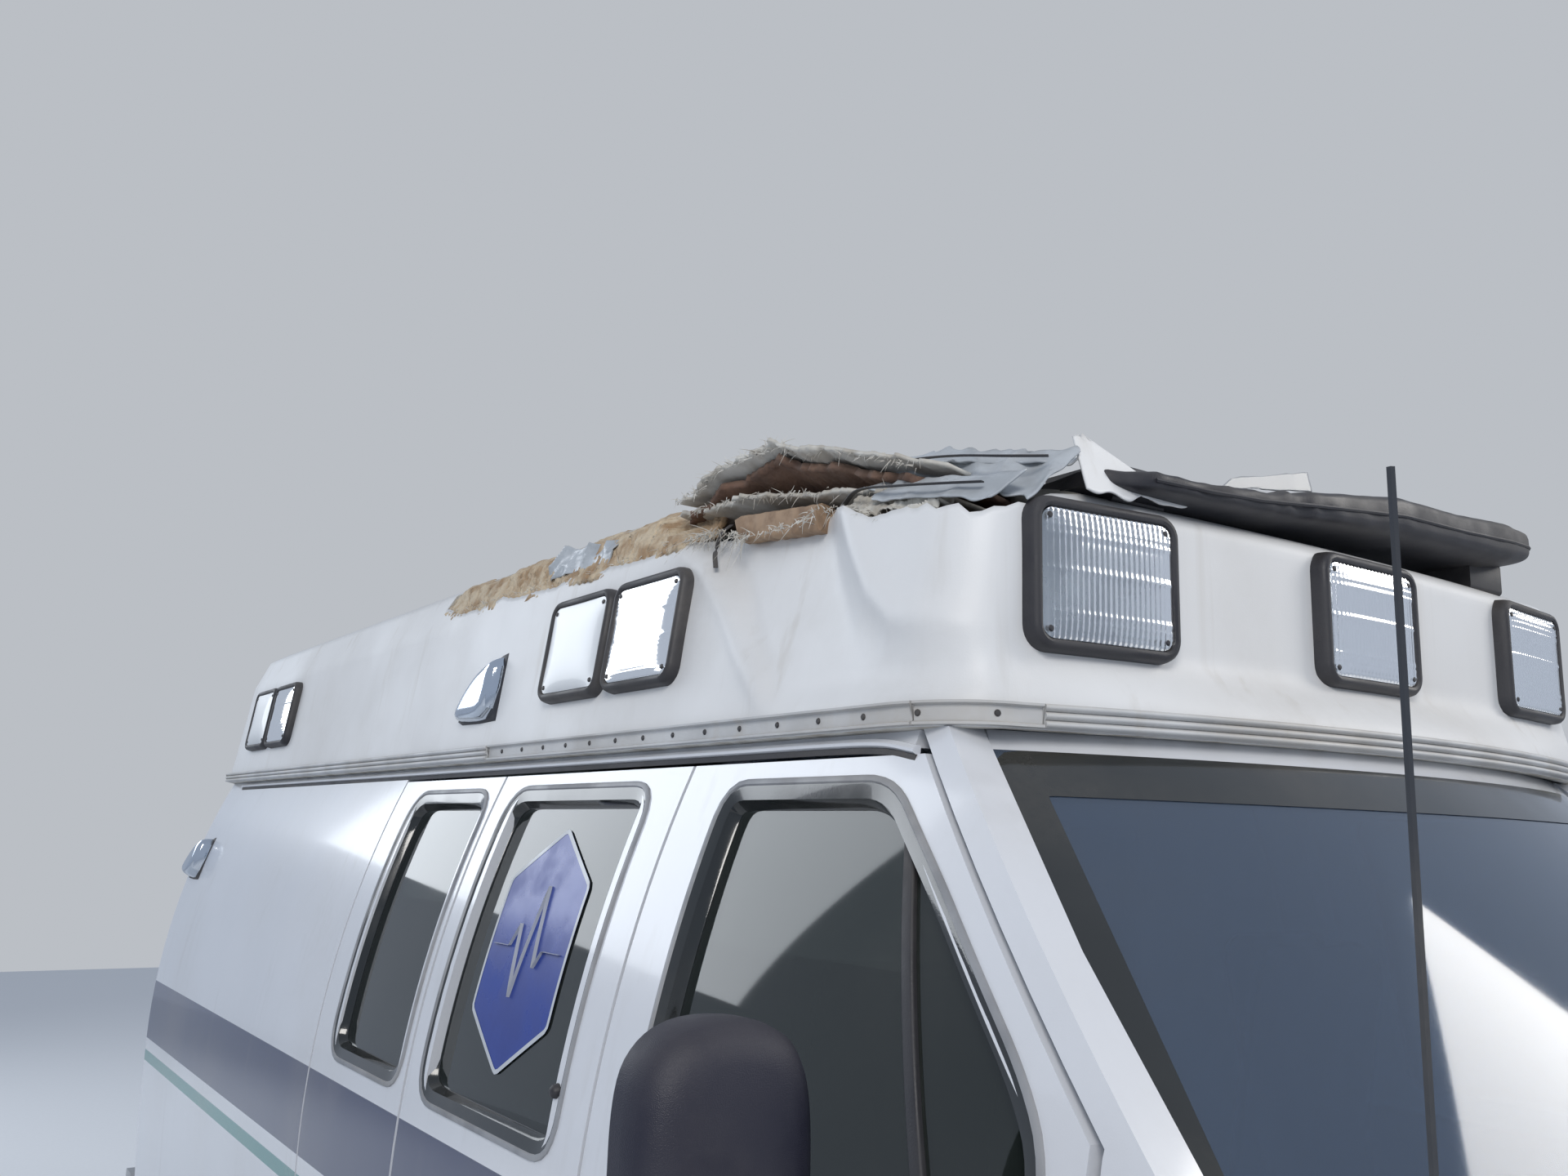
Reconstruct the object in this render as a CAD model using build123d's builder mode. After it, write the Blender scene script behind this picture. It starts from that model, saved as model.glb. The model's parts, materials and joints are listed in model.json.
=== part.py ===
"""A raised-roof van ambulance whose right upper roof edge has been torn open.

Frame: +X to the front, +Y to the vehicle's left, +Z up, millimetres, with the
origin on the ground under the middle of the overall length.
"""
from build123d import *
from math import ceil, hypot, sqrt
import os

# Overall size and running gear
WHEELBASE = 3505
X_FRONT_AXLE = 2040
X_REAR_AXLE = X_FRONT_AXLE - WHEELBASE
HALF_LENGTH = 2810
TYRE_RADIUS = 387
TYRE_WIDTH = 245
RIM_RADIUS = 205
HALF_TRACK_FRONT = 881
HALF_TRACK_REAR = 853
KINGPIN_Y = 811

# Body side: two tangent arcs that meet, upright, at the waist
HALF_WIDTH = 1008
Z_WAIST = 1070
R_TUMBLEHOME = 2062
R_TURN_UNDER = 8370
Z_BODY_BOTTOM = 450
Z_BODY_TOP = 1960
SKIN = 15
WALL = 60
POST = 120
DOOR_GAP = 9
LINING_LENGTH = 300
LINING_SLACK = 5.6

# Lengthwise stations
X_BODY_REAR = -2600
X_REAR_CORNER = -2440
X_QUARTER = -630
X_SIDE_SPLIT = -15
X_B_PILLAR = 745
X_DOOR_HINGE = 1700
X_PILLAR_TOP = 1310
X_COWL = 2130
X_NOSE = 2750

# Heights
Z_FLOOR = 700
FLOOR_THICKNESS = 60
Z_SILL = 510
Z_DOOR_LOW = 520
Z_DOOR_TOP = 1925
Z_BELT = 1320
Z_WINDOW_TOP = 1890
Z_PILLAR_FOOT = 1545

# Wheel openings
ARCH_RADIUS = 455
DOOR_ARCH_RADIUS = 530

# Raised roof
ROOF_HALF_WIDTH = 828
ROOF_LEAN = 0.14
Z_ROOF_CREASE = 2305
Z_ROOF_SHOULDER = 2400
Z_ROOF_CROWN = 2490
X_ROOF_FACE = 1412
X_ROOF_BROW = 1483
X_ROOF_CORNER = 1344
ROOF_CORNER_RADIUS = 110
ROOF_WALL = 30


def half_width(z, depth=0.0):
    """Half width of the body side at height z, on a layer depth mm below the skin."""
    radius = R_TUMBLEHOME if z >= Z_WAIST else R_TURN_UNDER
    return HALF_WIDTH - radius + sqrt((radius - depth) ** 2 - (z - Z_WAIST) ** 2)


def side_arc(z_from, z_to, depth, side=1):
    """Two tangent arcs of the body side between two heights, on one layer."""
    stops = [z_from, z_to]
    if min(stops) < Z_WAIST < max(stops):
        stops = [z_from, Z_WAIST, z_to]
    for start, end in zip(stops, stops[1:]):
        middle = (start + end) / 2
        upper = (start + end) / 2 >= Z_WAIST
        radius = R_TUMBLEHOME if upper else R_TURN_UNDER

        def on_arc(z):
            rise = sqrt((radius - depth) ** 2 - (z - Z_WAIST) ** 2)
            return (side * (HALF_WIDTH - radius + rise), z)

        ThreePointArc(on_arc(start), on_arc(middle), on_arc(end))


def lining_points(z_from, z_to, depth):
    """Flat lengths of the inner lining of the right side, nowhere deeper than the given depth."""
    stops = {z_from, z_to}
    if z_from < Z_WAIST < z_to:
        stops.add(Z_WAIST)
    upright_low = max(z_from, Z_WAIST)
    lengths = max(1, ceil((z_to - upright_low) / LINING_LENGTH))
    stops.update(upright_low + (z_to - upright_low) * step / lengths for step in range(1, lengths))
    return [(-half_width(z, depth - LINING_SLACK), z) for z in sorted(stops)]


def side_layer(x_from, x_to, outer, inner, z_low, z_high, flat_inside=True):
    """Right body side between two depths: a long slab with a curved skin and a flat or curved lining."""
    lining_low = (-half_width(z_low, inner), z_low)
    lining_high = (-half_width(z_high, inner), z_high)
    if flat_inside:
        lining = lining_points(z_low, z_high, inner)
        lining_low, lining_high = lining[0], lining[-1]
    with BuildPart() as slab:
        with BuildSketch(Plane.YZ.offset(x_from)):
            with BuildLine():
                side_arc(z_low, z_high, outer, -1)
                Line((-half_width(z_high, outer), z_high), lining_high)
                if flat_inside:
                    Polyline(*lining)
                else:
                    side_arc(z_high, z_low, inner, -1)
                Line(lining_low, (-half_width(z_low, outer), z_low))
            make_face()
        extrude(amount=x_to - x_from)
    return slab.part


def body_block(x_from, x_to, depth, z_low, z_high):
    """Full-width block whose two sides follow the body side at one depth."""
    with BuildPart() as block:
        with BuildSketch(Plane.YZ.offset(x_from)):
            with BuildLine():
                side_arc(z_low, z_high, depth, 1)
                Line((half_width(z_high, depth), z_high), (-half_width(z_high, depth), z_high))
                side_arc(z_high, z_low, depth, -1)
                Line((-half_width(z_low, depth), z_low), (half_width(z_low, depth), z_low))
            make_face()
        extrude(amount=x_to - x_from)
    return block.part


def side_prism(points, radius=0, y_from=-500, y_to=-1150):
    """Prism across the right side whose outline is given as (x, z) points."""
    with BuildPart() as prism:
        with BuildSketch(Plane.XZ.offset(-y_from)) as outline:
            with BuildLine():
                Polyline(*points, close=True)
            make_face()
            if radius:
                fillet(outline.vertices(), radius)
        extrude(amount=y_from - y_to)
    return prism.part


def side_disc(x, z, radius, y_from=-500, y_to=-1150):
    """Round prism across the right side."""
    with BuildPart() as disc:
        with BuildSketch(Plane.XZ.offset(-y_from)):
            with Locations((x, z)):
                Circle(radius)
        extrude(amount=y_from - y_to)
    return disc.part


def lying_prism(x, y_from, y_to, z, apothem, flats):
    """Many-sided bar across the vehicle, with a flat underneath."""
    with BuildPart() as bar:
        with BuildSketch(Plane.XZ.offset(-y_from)):
            with Locations((x, z)):
                RegularPolygon(apothem, flats, major_radius=False, rotation=180 / flats)
        extrude(amount=y_from - y_to)
    return bar.part


def block(x_from, x_to, y_from, y_to, z_from, z_to):
    """Plain block between six planes."""
    with BuildPart() as box:
        with Locations(((x_from + x_to) / 2, (y_from + y_to) / 2, (z_from + z_to) / 2)):
            Box(x_to - x_from, y_to - y_from, z_to - z_from)
    return box.part


def common(first, *others):
    """The volume that all the given parts share."""
    with BuildPart() as shared:
        add(first)
        for other in others:
            add(other, mode=Mode.INTERSECT)
    return shared.part


def cut(base, *tools):
    """A part with other parts taken out of it."""
    with BuildPart() as rest:
        add(base)
        for tool in tools:
            add(tool, mode=Mode.SUBTRACT)
    return rest.part


def joined(*pieces):
    """Several parts as one."""
    with BuildPart() as whole:
        for piece in pieces:
            add(piece)
    return whole.part


def mirrored(piece):
    """The same part on the other side of the vehicle."""
    with BuildPart() as other:
        add(piece)
        mirror(about=Plane.XZ, mode=Mode.REPLACE)
    return other.part


def both_sides(piece):
    """A right-hand part together with its left-hand twin."""
    return joined(piece, mirrored(piece))


def across(y_low, y_high, side):
    """The two y limits of a band on the right (side -1) or the left (side 1), lowest first."""
    return min(side * y_low, side * y_high), max(side * y_low, side * y_high)


NODES = {}


def keep(name, piece):
    """Name a finished piece and remember it for export."""
    piece.label = name
    NODES[name] = piece


# Outlines of doors and windows, as (x, z) points
PILLAR_DX = X_DOOR_HINGE - X_PILLAR_TOP
PILLAR_DZ = Z_DOOR_TOP - Z_PILLAR_FOOT


def front_door_outline(rear_inset):
    """Front door: slanted along the pillar, upright at the hinge, round over the wheel."""
    with BuildPart() as prism:
        with BuildSketch(Plane.XZ.offset(500)):
            with BuildLine():
                Polyline(
                    (X_DOOR_HINGE - DOOR_GAP / 2, Z_PILLAR_FOOT),
                    (X_PILLAR_TOP, Z_DOOR_TOP),
                    (X_B_PILLAR + DOOR_GAP / 2 + rear_inset, Z_DOOR_TOP),
                    (X_B_PILLAR + DOOR_GAP / 2 + rear_inset, Z_DOOR_LOW),
                    (X_DOOR_HINGE - DOOR_GAP / 2, Z_DOOR_LOW),
                    close=True,
                )
            make_face()
            with Locations((X_FRONT_AXLE, TYRE_RADIUS)):
                Circle(DOOR_ARCH_RADIUS, mode=Mode.SUBTRACT)
        extrude(amount=650)
    return prism.part


def upright_outline(x_rear, x_front):
    """Plain side-door outline."""
    corners = [(x_rear, Z_DOOR_LOW), (x_front, Z_DOOR_LOW), (x_front, Z_DOOR_TOP), (x_rear, Z_DOOR_TOP)]
    return side_prism(corners)


FRONT_WINDOW = [(877, Z_BELT), (877, Z_WINDOW_TOP), (1268, Z_WINDOW_TOP), (1638, 1530), (1638, Z_BELT)]
SIDE_WINDOW_FRONT = [(90, 1322), (620, 1322), (620, Z_WINDOW_TOP), (90, Z_WINDOW_TOP)]
SIDE_WINDOW_REAR = [(-480, 1322), (-66, 1322), (-66, Z_WINDOW_TOP), (-480, Z_WINDOW_TOP)]
WINDOW_RADIUS = 38
GLASS_OUTER = 22
GLASS_INNER = 33

right_skin = side_layer(X_REAR_CORNER, X_DOOR_HINGE + 60, 0, SKIN, Z_BODY_BOTTOM, Z_BODY_TOP, False)
right_lining = side_layer(X_REAR_CORNER, X_DOOR_HINGE + 60, SKIN, WALL, Z_BODY_BOTTOM, Z_BODY_TOP)
right_glazing = side_layer(
    X_REAR_CORNER, X_DOOR_HINGE + 60, GLASS_OUTER, GLASS_INNER, Z_BODY_BOTTOM, Z_BODY_TOP
)


def door_and_glass(outer_outline, inner_outline, window):
    """A hinged leaf in two layers, its free edge stepped so that it can swing out."""
    window_prism = side_prism(window, WINDOW_RADIUS)
    leaf = joined(common(right_skin, outer_outline), common(right_lining, inner_outline))
    return cut(leaf, window_prism), common(right_glazing, window_prism)


FREE_STEP = 28
HANDLE_OUT = 24
HANDLE_LOW = 1105
HANDLE_TOP = 1140


def paddle(x_rear, x_front):
    """Door handle that stands off the right body side at the waist."""
    bar = block(x_rear, x_front, -HALF_WIDTH - HANDLE_OUT, -HALF_WIDTH + 12, HANDLE_LOW, HANDLE_TOP)
    return cut(bar, right_skin)


front_leaf, front_glass = door_and_glass(front_door_outline(0), front_door_outline(FREE_STEP), FRONT_WINDOW)
front_door = joined(front_leaf, paddle(805, 955))
keep("front_door_right", front_door)
keep("front_door_right_glass", front_glass)
keep("front_door_left", mirrored(front_door))
keep("front_door_left_glass", mirrored(front_glass))

SPLIT_GAP = 11
x_leaf_rear = X_SIDE_SPLIT + SPLIT_GAP / 2
x_leaf_front = X_B_PILLAR - DOOR_GAP / 2
side_leaf, side_leaf_glass = door_and_glass(
    upright_outline(x_leaf_rear, x_leaf_front),
    upright_outline(x_leaf_rear + FREE_STEP, x_leaf_front),
    SIDE_WINDOW_FRONT,
)
keep("side_door_front", joined(side_leaf, paddle(45, 195)))
keep("side_door_front_glass", side_leaf_glass)

x_small_rear = X_QUARTER + DOOR_GAP / 2
x_small_front = X_SIDE_SPLIT - SPLIT_GAP / 2
small_leaf, small_leaf_glass = door_and_glass(
    upright_outline(x_small_rear, x_small_front),
    upright_outline(x_small_rear, x_small_front - FREE_STEP),
    SIDE_WINDOW_REAR,
)
keep("side_door_rear", small_leaf)
keep("side_door_rear_glass", small_leaf_glass)

# Fixed body sides: sill, header, quarter wall and the posts behind the doors
X_SILL_FRONT = X_FRONT_AXLE - DOOR_ARCH_RADIUS + 4
Z_HEADER = Z_DOOR_TOP + DOOR_GAP
sill = side_layer(X_REAR_CORNER, X_SILL_FRONT, 0, POST, Z_BODY_BOTTOM, Z_SILL)
sill_riser = side_layer(X_REAR_CORNER, X_SILL_FRONT, WALL + 10, POST, Z_SILL, Z_FLOOR)
X_HEADER_FRONT = 1284
header = side_layer(X_REAR_CORNER, X_HEADER_FRONT, 0, POST, Z_HEADER, Z_BODY_TOP)
centre_post = side_layer(X_B_PILLAR - 45, X_B_PILLAR + 45, WALL + 10, POST, Z_FLOOR, Z_HEADER)
quarter_post = side_layer(X_QUARTER - 60, X_QUARTER + 40, WALL + 10, POST, Z_FLOOR, Z_HEADER)
quarter_wall = side_layer(X_REAR_CORNER, X_QUARTER - DOOR_GAP / 2, 0, WALL, Z_SILL, Z_HEADER)
quarter_rib = side_layer(X_QUARTER - 60, X_QUARTER - DOOR_GAP / 2, WALL, WALL + 10, Z_FLOOR, Z_HEADER)
rear_arch = side_disc(X_REAR_AXLE, TYRE_RADIUS, ARCH_RADIUS)
sill_riser = cut(sill_riser, side_disc(X_REAR_AXLE, TYRE_RADIUS, ARCH_RADIUS + 20))
front_arch = side_disc(X_FRONT_AXLE, TYRE_RADIUS, ARCH_RADIUS + 20)
right_side = cut(
    joined(sill, sill_riser, header, centre_post, quarter_post, quarter_wall, quarter_rib),
    rear_arch,
    front_arch,
)
keep("side_panel_right", right_side)

plain_wall = side_layer(X_REAR_CORNER, X_B_PILLAR - DOOR_GAP / 2, 0, WALL, Z_SILL, Z_HEADER)
left_post_rib = side_layer(X_B_PILLAR - 45, X_B_PILLAR - DOOR_GAP / 2, WALL, WALL + 10, Z_FLOOR, Z_HEADER)
left_side = cut(
    joined(sill, sill_riser, header, centre_post, plain_wall, left_post_rib),
    rear_arch,
    front_arch,
)
keep("side_panel_left", mirrored(left_side))

# Rear frame: corner pillars, header and sill round the two rear doors
REAR_WALL = 55
REAR_CORNER_CUT = 42
REAR_OPENING_DEPTH = 88
Z_REAR_OPENING_LOW = 655
Z_REAR_OPENING_TOP = 1900
REAR_DOOR_THICKNESS = 50
ROOF_OPENING_HALF = 760

X_REAR_WALL = X_BODY_REAR + REAR_WALL
rear_shell = cut(
    body_block(X_BODY_REAR, X_REAR_CORNER, 0, Z_BODY_BOTTOM, Z_BODY_TOP),
    body_block(X_REAR_WALL, X_REAR_CORNER, WALL, Z_FLOOR, Z_HEADER),
    body_block(X_BODY_REAR, X_REAR_WALL, REAR_OPENING_DEPTH, Z_REAR_OPENING_LOW, Z_REAR_OPENING_TOP),
    block(X_BODY_REAR, X_REAR_CORNER, -850, 850, Z_BODY_BOTTOM, 622),
    block(X_REAR_WALL, X_REAR_CORNER, -870, 870, 600, Z_FLOOR),
    block(X_REAR_WALL, X_REAR_CORNER, -ROOF_OPENING_HALF, ROOF_OPENING_HALF, 1900, Z_BODY_TOP),
)
with BuildPart() as rear_frame:
    add(rear_shell)
    back_edges = rear_frame.edges().filter_by(lambda edge: abs(edge.center().X - X_BODY_REAR) < 1)
    outer_edges = back_edges.filter_by(lambda edge: abs(edge.center().Y) > half_width(edge.center().Z) - 25)
    long_edges = outer_edges.filter_by(lambda edge: edge.length > 300)
    chamfer(long_edges, REAR_CORNER_CUT)
keep("rear_frame", rear_frame.part)

rear_leaf_block = body_block(
    X_BODY_REAR,
    X_BODY_REAR + REAR_DOOR_THICKNESS,
    REAR_OPENING_DEPTH + 8,
    Z_REAR_OPENING_LOW + 6,
    Z_REAR_OPENING_TOP - 6,
)
REAR_WINDOW = [(-120, 1340), (-745, 1340), (-665, 1830), (-120, 1830)]


def rear_prism(points, radius, x_from, x_to):
    """Prism along the vehicle whose outline is given as (y, z) points."""
    with BuildPart() as prism:
        with BuildSketch(Plane.YZ.offset(x_from)) as outline:
            with BuildLine():
                Polyline(*points, close=True)
            make_face()
            if radius:
                fillet(outline.vertices(), radius)
        extrude(amount=x_to - x_from)
    return prism.part


rear_window_prism = rear_prism(REAR_WINDOW, WINDOW_RADIUS, X_BODY_REAR - 5, X_BODY_REAR + 80)
right_half = block(X_BODY_REAR - 50, X_BODY_REAR + 100, -1100, -4, Z_BODY_BOTTOM, Z_BODY_TOP)
rear_leaf = cut(common(rear_leaf_block, right_half), rear_window_prism)
rear_glass = rear_prism(REAR_WINDOW, WINDOW_RADIUS, X_BODY_REAR + 14, X_BODY_REAR + 22)
rear_handle = block(X_BODY_REAR - HANDLE_OUT, X_BODY_REAR + 2, -230, -90, 1130, 1165)
keep("rear_door_right", joined(rear_leaf, rear_handle))
keep("rear_door_right_glass", rear_glass)
keep("rear_door_left", mirrored(rear_leaf))
keep("rear_door_left_glass", mirrored(rear_glass))

# Cab frame: windscreen pillars, header, cowl, hinge posts and bulkhead
SCREEN_TOP_X = 1483
ENGINE_ROOM_Y = 290
SCREEN_TOP_Z = 1943
SCREEN_BASE_X = 2110
SCREEN_BASE_Z = 1300
PILLAR_STRIP = 34

PILLAR_LENGTH = hypot(PILLAR_DX, PILLAR_DZ)
PILLAR_NORMAL = (PILLAR_DZ / PILLAR_LENGTH, PILLAR_DX / PILLAR_LENGTH)


def on_pillar_line(z, distance=0.0):
    """Point at height z on the door's slanted edge, produced, moved away from the door."""
    x = X_PILLAR_TOP + (Z_DOOR_TOP - z) * PILLAR_DX / PILLAR_DZ
    return (x + distance / PILLAR_NORMAL[0], z)


Z_PILLAR_BASE = 1200
pillar_strip = side_prism(
    [
        on_pillar_line(Z_BODY_TOP, DOOR_GAP),
        on_pillar_line(Z_PILLAR_FOOT, DOOR_GAP),
        (X_DOOR_HINGE + 12, Z_PILLAR_FOOT - 8),
        (X_DOOR_HINGE + 12, Z_PILLAR_BASE),
        on_pillar_line(Z_PILLAR_BASE, DOOR_GAP + PILLAR_STRIP),
        on_pillar_line(Z_BODY_TOP, DOOR_GAP + PILLAR_STRIP),
    ]
)
pillar_layer = side_layer(1250, 2100, 0, WALL, Z_PILLAR_BASE, Z_BODY_TOP)
right_pillar = common(pillar_layer, pillar_strip)
hinge_post = side_layer(X_DOOR_HINGE + 12, X_DOOR_HINGE + 72, 27, POST, 775, Z_PILLAR_BASE)


# Windscreen: a sheet bent round one axis that runs up its slope
SCREEN_RUN = SCREEN_BASE_X - SCREEN_TOP_X
SCREEN_RISE = SCREEN_TOP_Z - SCREEN_BASE_Z
SCREEN_SLOPE = hypot(SCREEN_RUN, SCREEN_RISE)
SCREEN_BOW = 111
SCREEN_BOW_HALF = 800
SCREEN_RADIUS = (SCREEN_BOW_HALF**2 + SCREEN_BOW**2) / (2 * SCREEN_BOW)
SCREEN_SHEET_HALF = 990
SCREEN_GLASS = 7
SCREEN_FRAME = 42


def screen_slab(thickness):
    """Bent slab behind the outer face of the windscreen, longer than the glass at both ends."""
    spare = 0.2
    foot = (SCREEN_BASE_X + spare * SCREEN_RUN, 0, SCREEN_BASE_Z - spare * SCREEN_RISE)
    up_slope = (-SCREEN_RUN, 0, SCREEN_RISE)
    edge_bow = SCREEN_RADIUS - sqrt(SCREEN_RADIUS**2 - SCREEN_SHEET_HALF**2)
    with BuildPart() as slab:
        with BuildSketch(Plane(origin=foot, x_dir=(0, 1, 0), z_dir=up_slope)):
            with BuildLine():
                ThreePointArc((-SCREEN_SHEET_HALF, edge_bow), (0, 0), (SCREEN_SHEET_HALF, edge_bow))
                Line((SCREEN_SHEET_HALF, edge_bow), (SCREEN_SHEET_HALF, edge_bow + thickness))
                ThreePointArc(
                    (SCREEN_SHEET_HALF, edge_bow + thickness),
                    (0, thickness),
                    (-SCREEN_SHEET_HALF, edge_bow + thickness),
                )
                Line((-SCREEN_SHEET_HALF, edge_bow + thickness), (-SCREEN_SHEET_HALF, edge_bow))
            make_face()
        extrude(amount=(1 + 2 * spare) * SCREEN_SLOPE)
    return slab.part


Z_SCREEN_TOP = Z_DOOR_TOP + 8
inside_pillars = body_block(1200, 2200, WALL + 0.5, SCREEN_BASE_Z, Z_SCREEN_TOP)
keep("windshield", common(screen_slab(SCREEN_GLASS), inside_pillars))

screen_header = common(
    screen_slab(SCREEN_FRAME),
    block(X_HEADER_FRONT + 1, 1600, -900, 900, Z_SCREEN_TOP, Z_BODY_TOP),
    body_block(1200, 1600, WALL, 1900, Z_BODY_TOP),
)
cowl = common(
    block(SCREEN_BASE_X - 250, X_COWL, -960, 960, 1240, SCREEN_BASE_Z),
    body_block(1700, 2200, 58, 1200, 1320),
)
X_BULKHEAD = SCREEN_BASE_X - 190
bulkhead = joined(
    block(X_BULKHEAD, X_BULKHEAD + 30, -880, -ENGINE_ROOM_Y, 860, 1240),
    block(X_BULKHEAD, X_BULKHEAD + 30, ENGINE_ROOM_Y, 880, 860, 1240),
    block(X_BULKHEAD, X_BULKHEAD + 30, -530, -ENGINE_ROOM_Y, Z_FLOOR, 860),
    block(X_BULKHEAD, X_BULKHEAD + 30, ENGINE_ROOM_Y, 530, Z_FLOOR, 860),
    block(X_BULKHEAD, X_BULKHEAD + 30, -ENGINE_ROOM_Y, ENGINE_ROOM_Y, 1110, 1240),
)
right_posts = joined(right_pillar, hinge_post)
cab_frame = joined(right_posts, mirrored(right_posts), cowl, bulkhead, screen_header)
keep("cab_frame", cab_frame)

# Front clip: one nose form, hollowed and split into wings, bonnet and grille
NOSE_TAPER_X = 2420
NOSE_HALF_WIDTH = 905
NOSE_CORNER = 150
HOOD_HALF_WIDTH = 800
HOOD_GAP = 7
Z_HOOD_LIP = 1075
PANEL = 26
X_HOOD_REAR = X_COWL + HOOD_GAP


def nose_form(inset):
    """Closed nose: cross-section, plan and side profile in common. With an inset it is the plain inside."""
    half = HALF_WIDTH - inset
    with BuildPart() as form:
        with BuildSketch(Plane.YZ.offset(X_DOOR_HINGE + 12)):
            side_depth = max(0, inset - LINING_SLACK)
            side_points = [
                (half_width(Z_BODY_BOTTOM, side_depth), Z_BODY_BOTTOM),
                (half_width(Z_WAIST, side_depth), Z_WAIST),
                (half_width(1200, side_depth), 1200),
                (half - 50, 1290 - inset),
                (half - 190, 1325 - inset),
            ]
            with BuildLine():
                if inset:
                    other_side = [(-y, z) for y, z in reversed(side_points)]
                    Polyline(*side_points, (0, 1350 - inset), *other_side, close=True)
                else:
                    side_arc(Z_BODY_BOTTOM, 1200, 0, 1)
                    ThreePointArc(*side_points[2:])
                    ThreePointArc(side_points[4], (0, 1350), (190 - half, 1325))
                    ThreePointArc((190 - half, 1325), (50 - half, 1290), (-half_width(1200), 1200))
                    side_arc(1200, Z_BODY_BOTTOM, 0, -1)
                    Line((-half_width(Z_BODY_BOTTOM), Z_BODY_BOTTOM), side_points[0])
            make_face()
        extrude(amount=X_NOSE - X_DOOR_HINGE)
        with BuildSketch(Plane.XY.offset(Z_BODY_BOTTOM - 50), mode=Mode.PRIVATE) as plan:
            with BuildLine():
                Polyline(
                    (X_DOOR_HINGE, -HALF_WIDTH - 5 + inset),
                    (NOSE_TAPER_X, -HALF_WIDTH - 5 + inset),
                    (X_NOSE - inset, -NOSE_HALF_WIDTH + inset),
                    (X_NOSE - inset, NOSE_HALF_WIDTH - inset),
                    (NOSE_TAPER_X, HALF_WIDTH + 5 - inset),
                    (X_DOOR_HINGE, HALF_WIDTH + 5 - inset),
                    close=True,
                )
            make_face()
            if inset:
                chamfer(plan.vertices().group_by(Axis.X)[-1], 0.6 * NOSE_CORNER)
            else:
                fillet(plan.vertices().group_by(Axis.X)[-1], NOSE_CORNER)
                fillet(plan.vertices().group_by(Axis.X)[1], 300)
        extrude(plan.sketch, amount=1000, mode=Mode.INTERSECT)
        with BuildSketch(Plane.XZ.offset(-1100), mode=Mode.PRIVATE) as profile:
            with BuildLine():
                Polyline(
                    (X_DOOR_HINGE, Z_BODY_BOTTOM),
                    (X_NOSE - inset, Z_BODY_BOTTOM),
                    (X_NOSE - inset, 1112 - inset),
                    (2650, 1165 - inset),
                    (X_COWL - 20, 1318 - inset),
                    (X_DOOR_HINGE, 1330 - inset),
                    close=True,
                )
            make_face()
            if not inset:
                fillet(profile.vertices().sort_by_distance((X_NOSE, 1100, 1112))[0], 45)
                fillet(profile.vertices().sort_by_distance((2650, 1100, 1165))[0], 120)
        extrude(profile.sketch, amount=2200, mode=Mode.INTERSECT)
    return form.part


nose_shell = cut(nose_form(0), nose_form(PANEL))
hood_region = block(X_HOOD_REAR, X_NOSE + 10, -HOOD_HALF_WIDTH, HOOD_HALF_WIDTH, Z_HOOD_LIP, 1500)
hood = common(nose_shell, hood_region)
keep("hood", hood)

hood_room_half = HOOD_HALF_WIDTH + HOOD_GAP
fender_clear = block(X_DOOR_HINGE, X_NOSE + 20, -hood_room_half, hood_room_half, 300, 1500)
fender_side = cut(
    nose_shell,
    fender_clear,
    block(1000, X_NOSE + 20, 0, 1200, 300, 1500),
    side_disc(X_FRONT_AXLE, TYRE_RADIUS, ARCH_RADIUS),
    side_prism([(1600, Z_PILLAR_BASE), (X_HOOD_REAR, Z_PILLAR_BASE), (X_HOOD_REAR, 1600), (1600, 1600)]),
    side_prism([(2540, 300), (2900, 300), (2900, 705), (2540, 705)]),
)
fender_tail = cut(
    common(
        side_layer(X_SILL_FRONT + 2, X_DOOR_HINGE + 14, 0, PANEL, Z_BODY_BOTTOM, 900),
        side_disc(X_FRONT_AXLE, TYRE_RADIUS, DOOR_ARCH_RADIUS - 9),
    ),
    side_disc(X_FRONT_AXLE, TYRE_RADIUS, ARCH_RADIUS),
)
TUB_FLATS = 26
TUB_TURN = 180 / TUB_FLATS
with BuildPart() as wheel_tub:
    with BuildSketch(Plane.XZ.offset(545)):
        with Locations((X_FRONT_AXLE, TYRE_RADIUS)):
            RegularPolygon(ARCH_RADIUS + 12, TUB_FLATS, False, TUB_TURN)
            RegularPolygon(ARCH_RADIUS, TUB_FLATS, False, TUB_TURN, mode=Mode.SUBTRACT)
        with Locations((X_FRONT_AXLE, TYRE_RADIUS - 400)):
            Rectangle(1200, 900, mode=Mode.SUBTRACT)
    extrude(amount=415)
tub = common(wheel_tub.part, body_block(1400, 2700, PANEL, 420, 1000))
right_fender = joined(fender_side, fender_tail, tub)
keep("fender_right", right_fender)
keep("fender_left", mirrored(right_fender))

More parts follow.
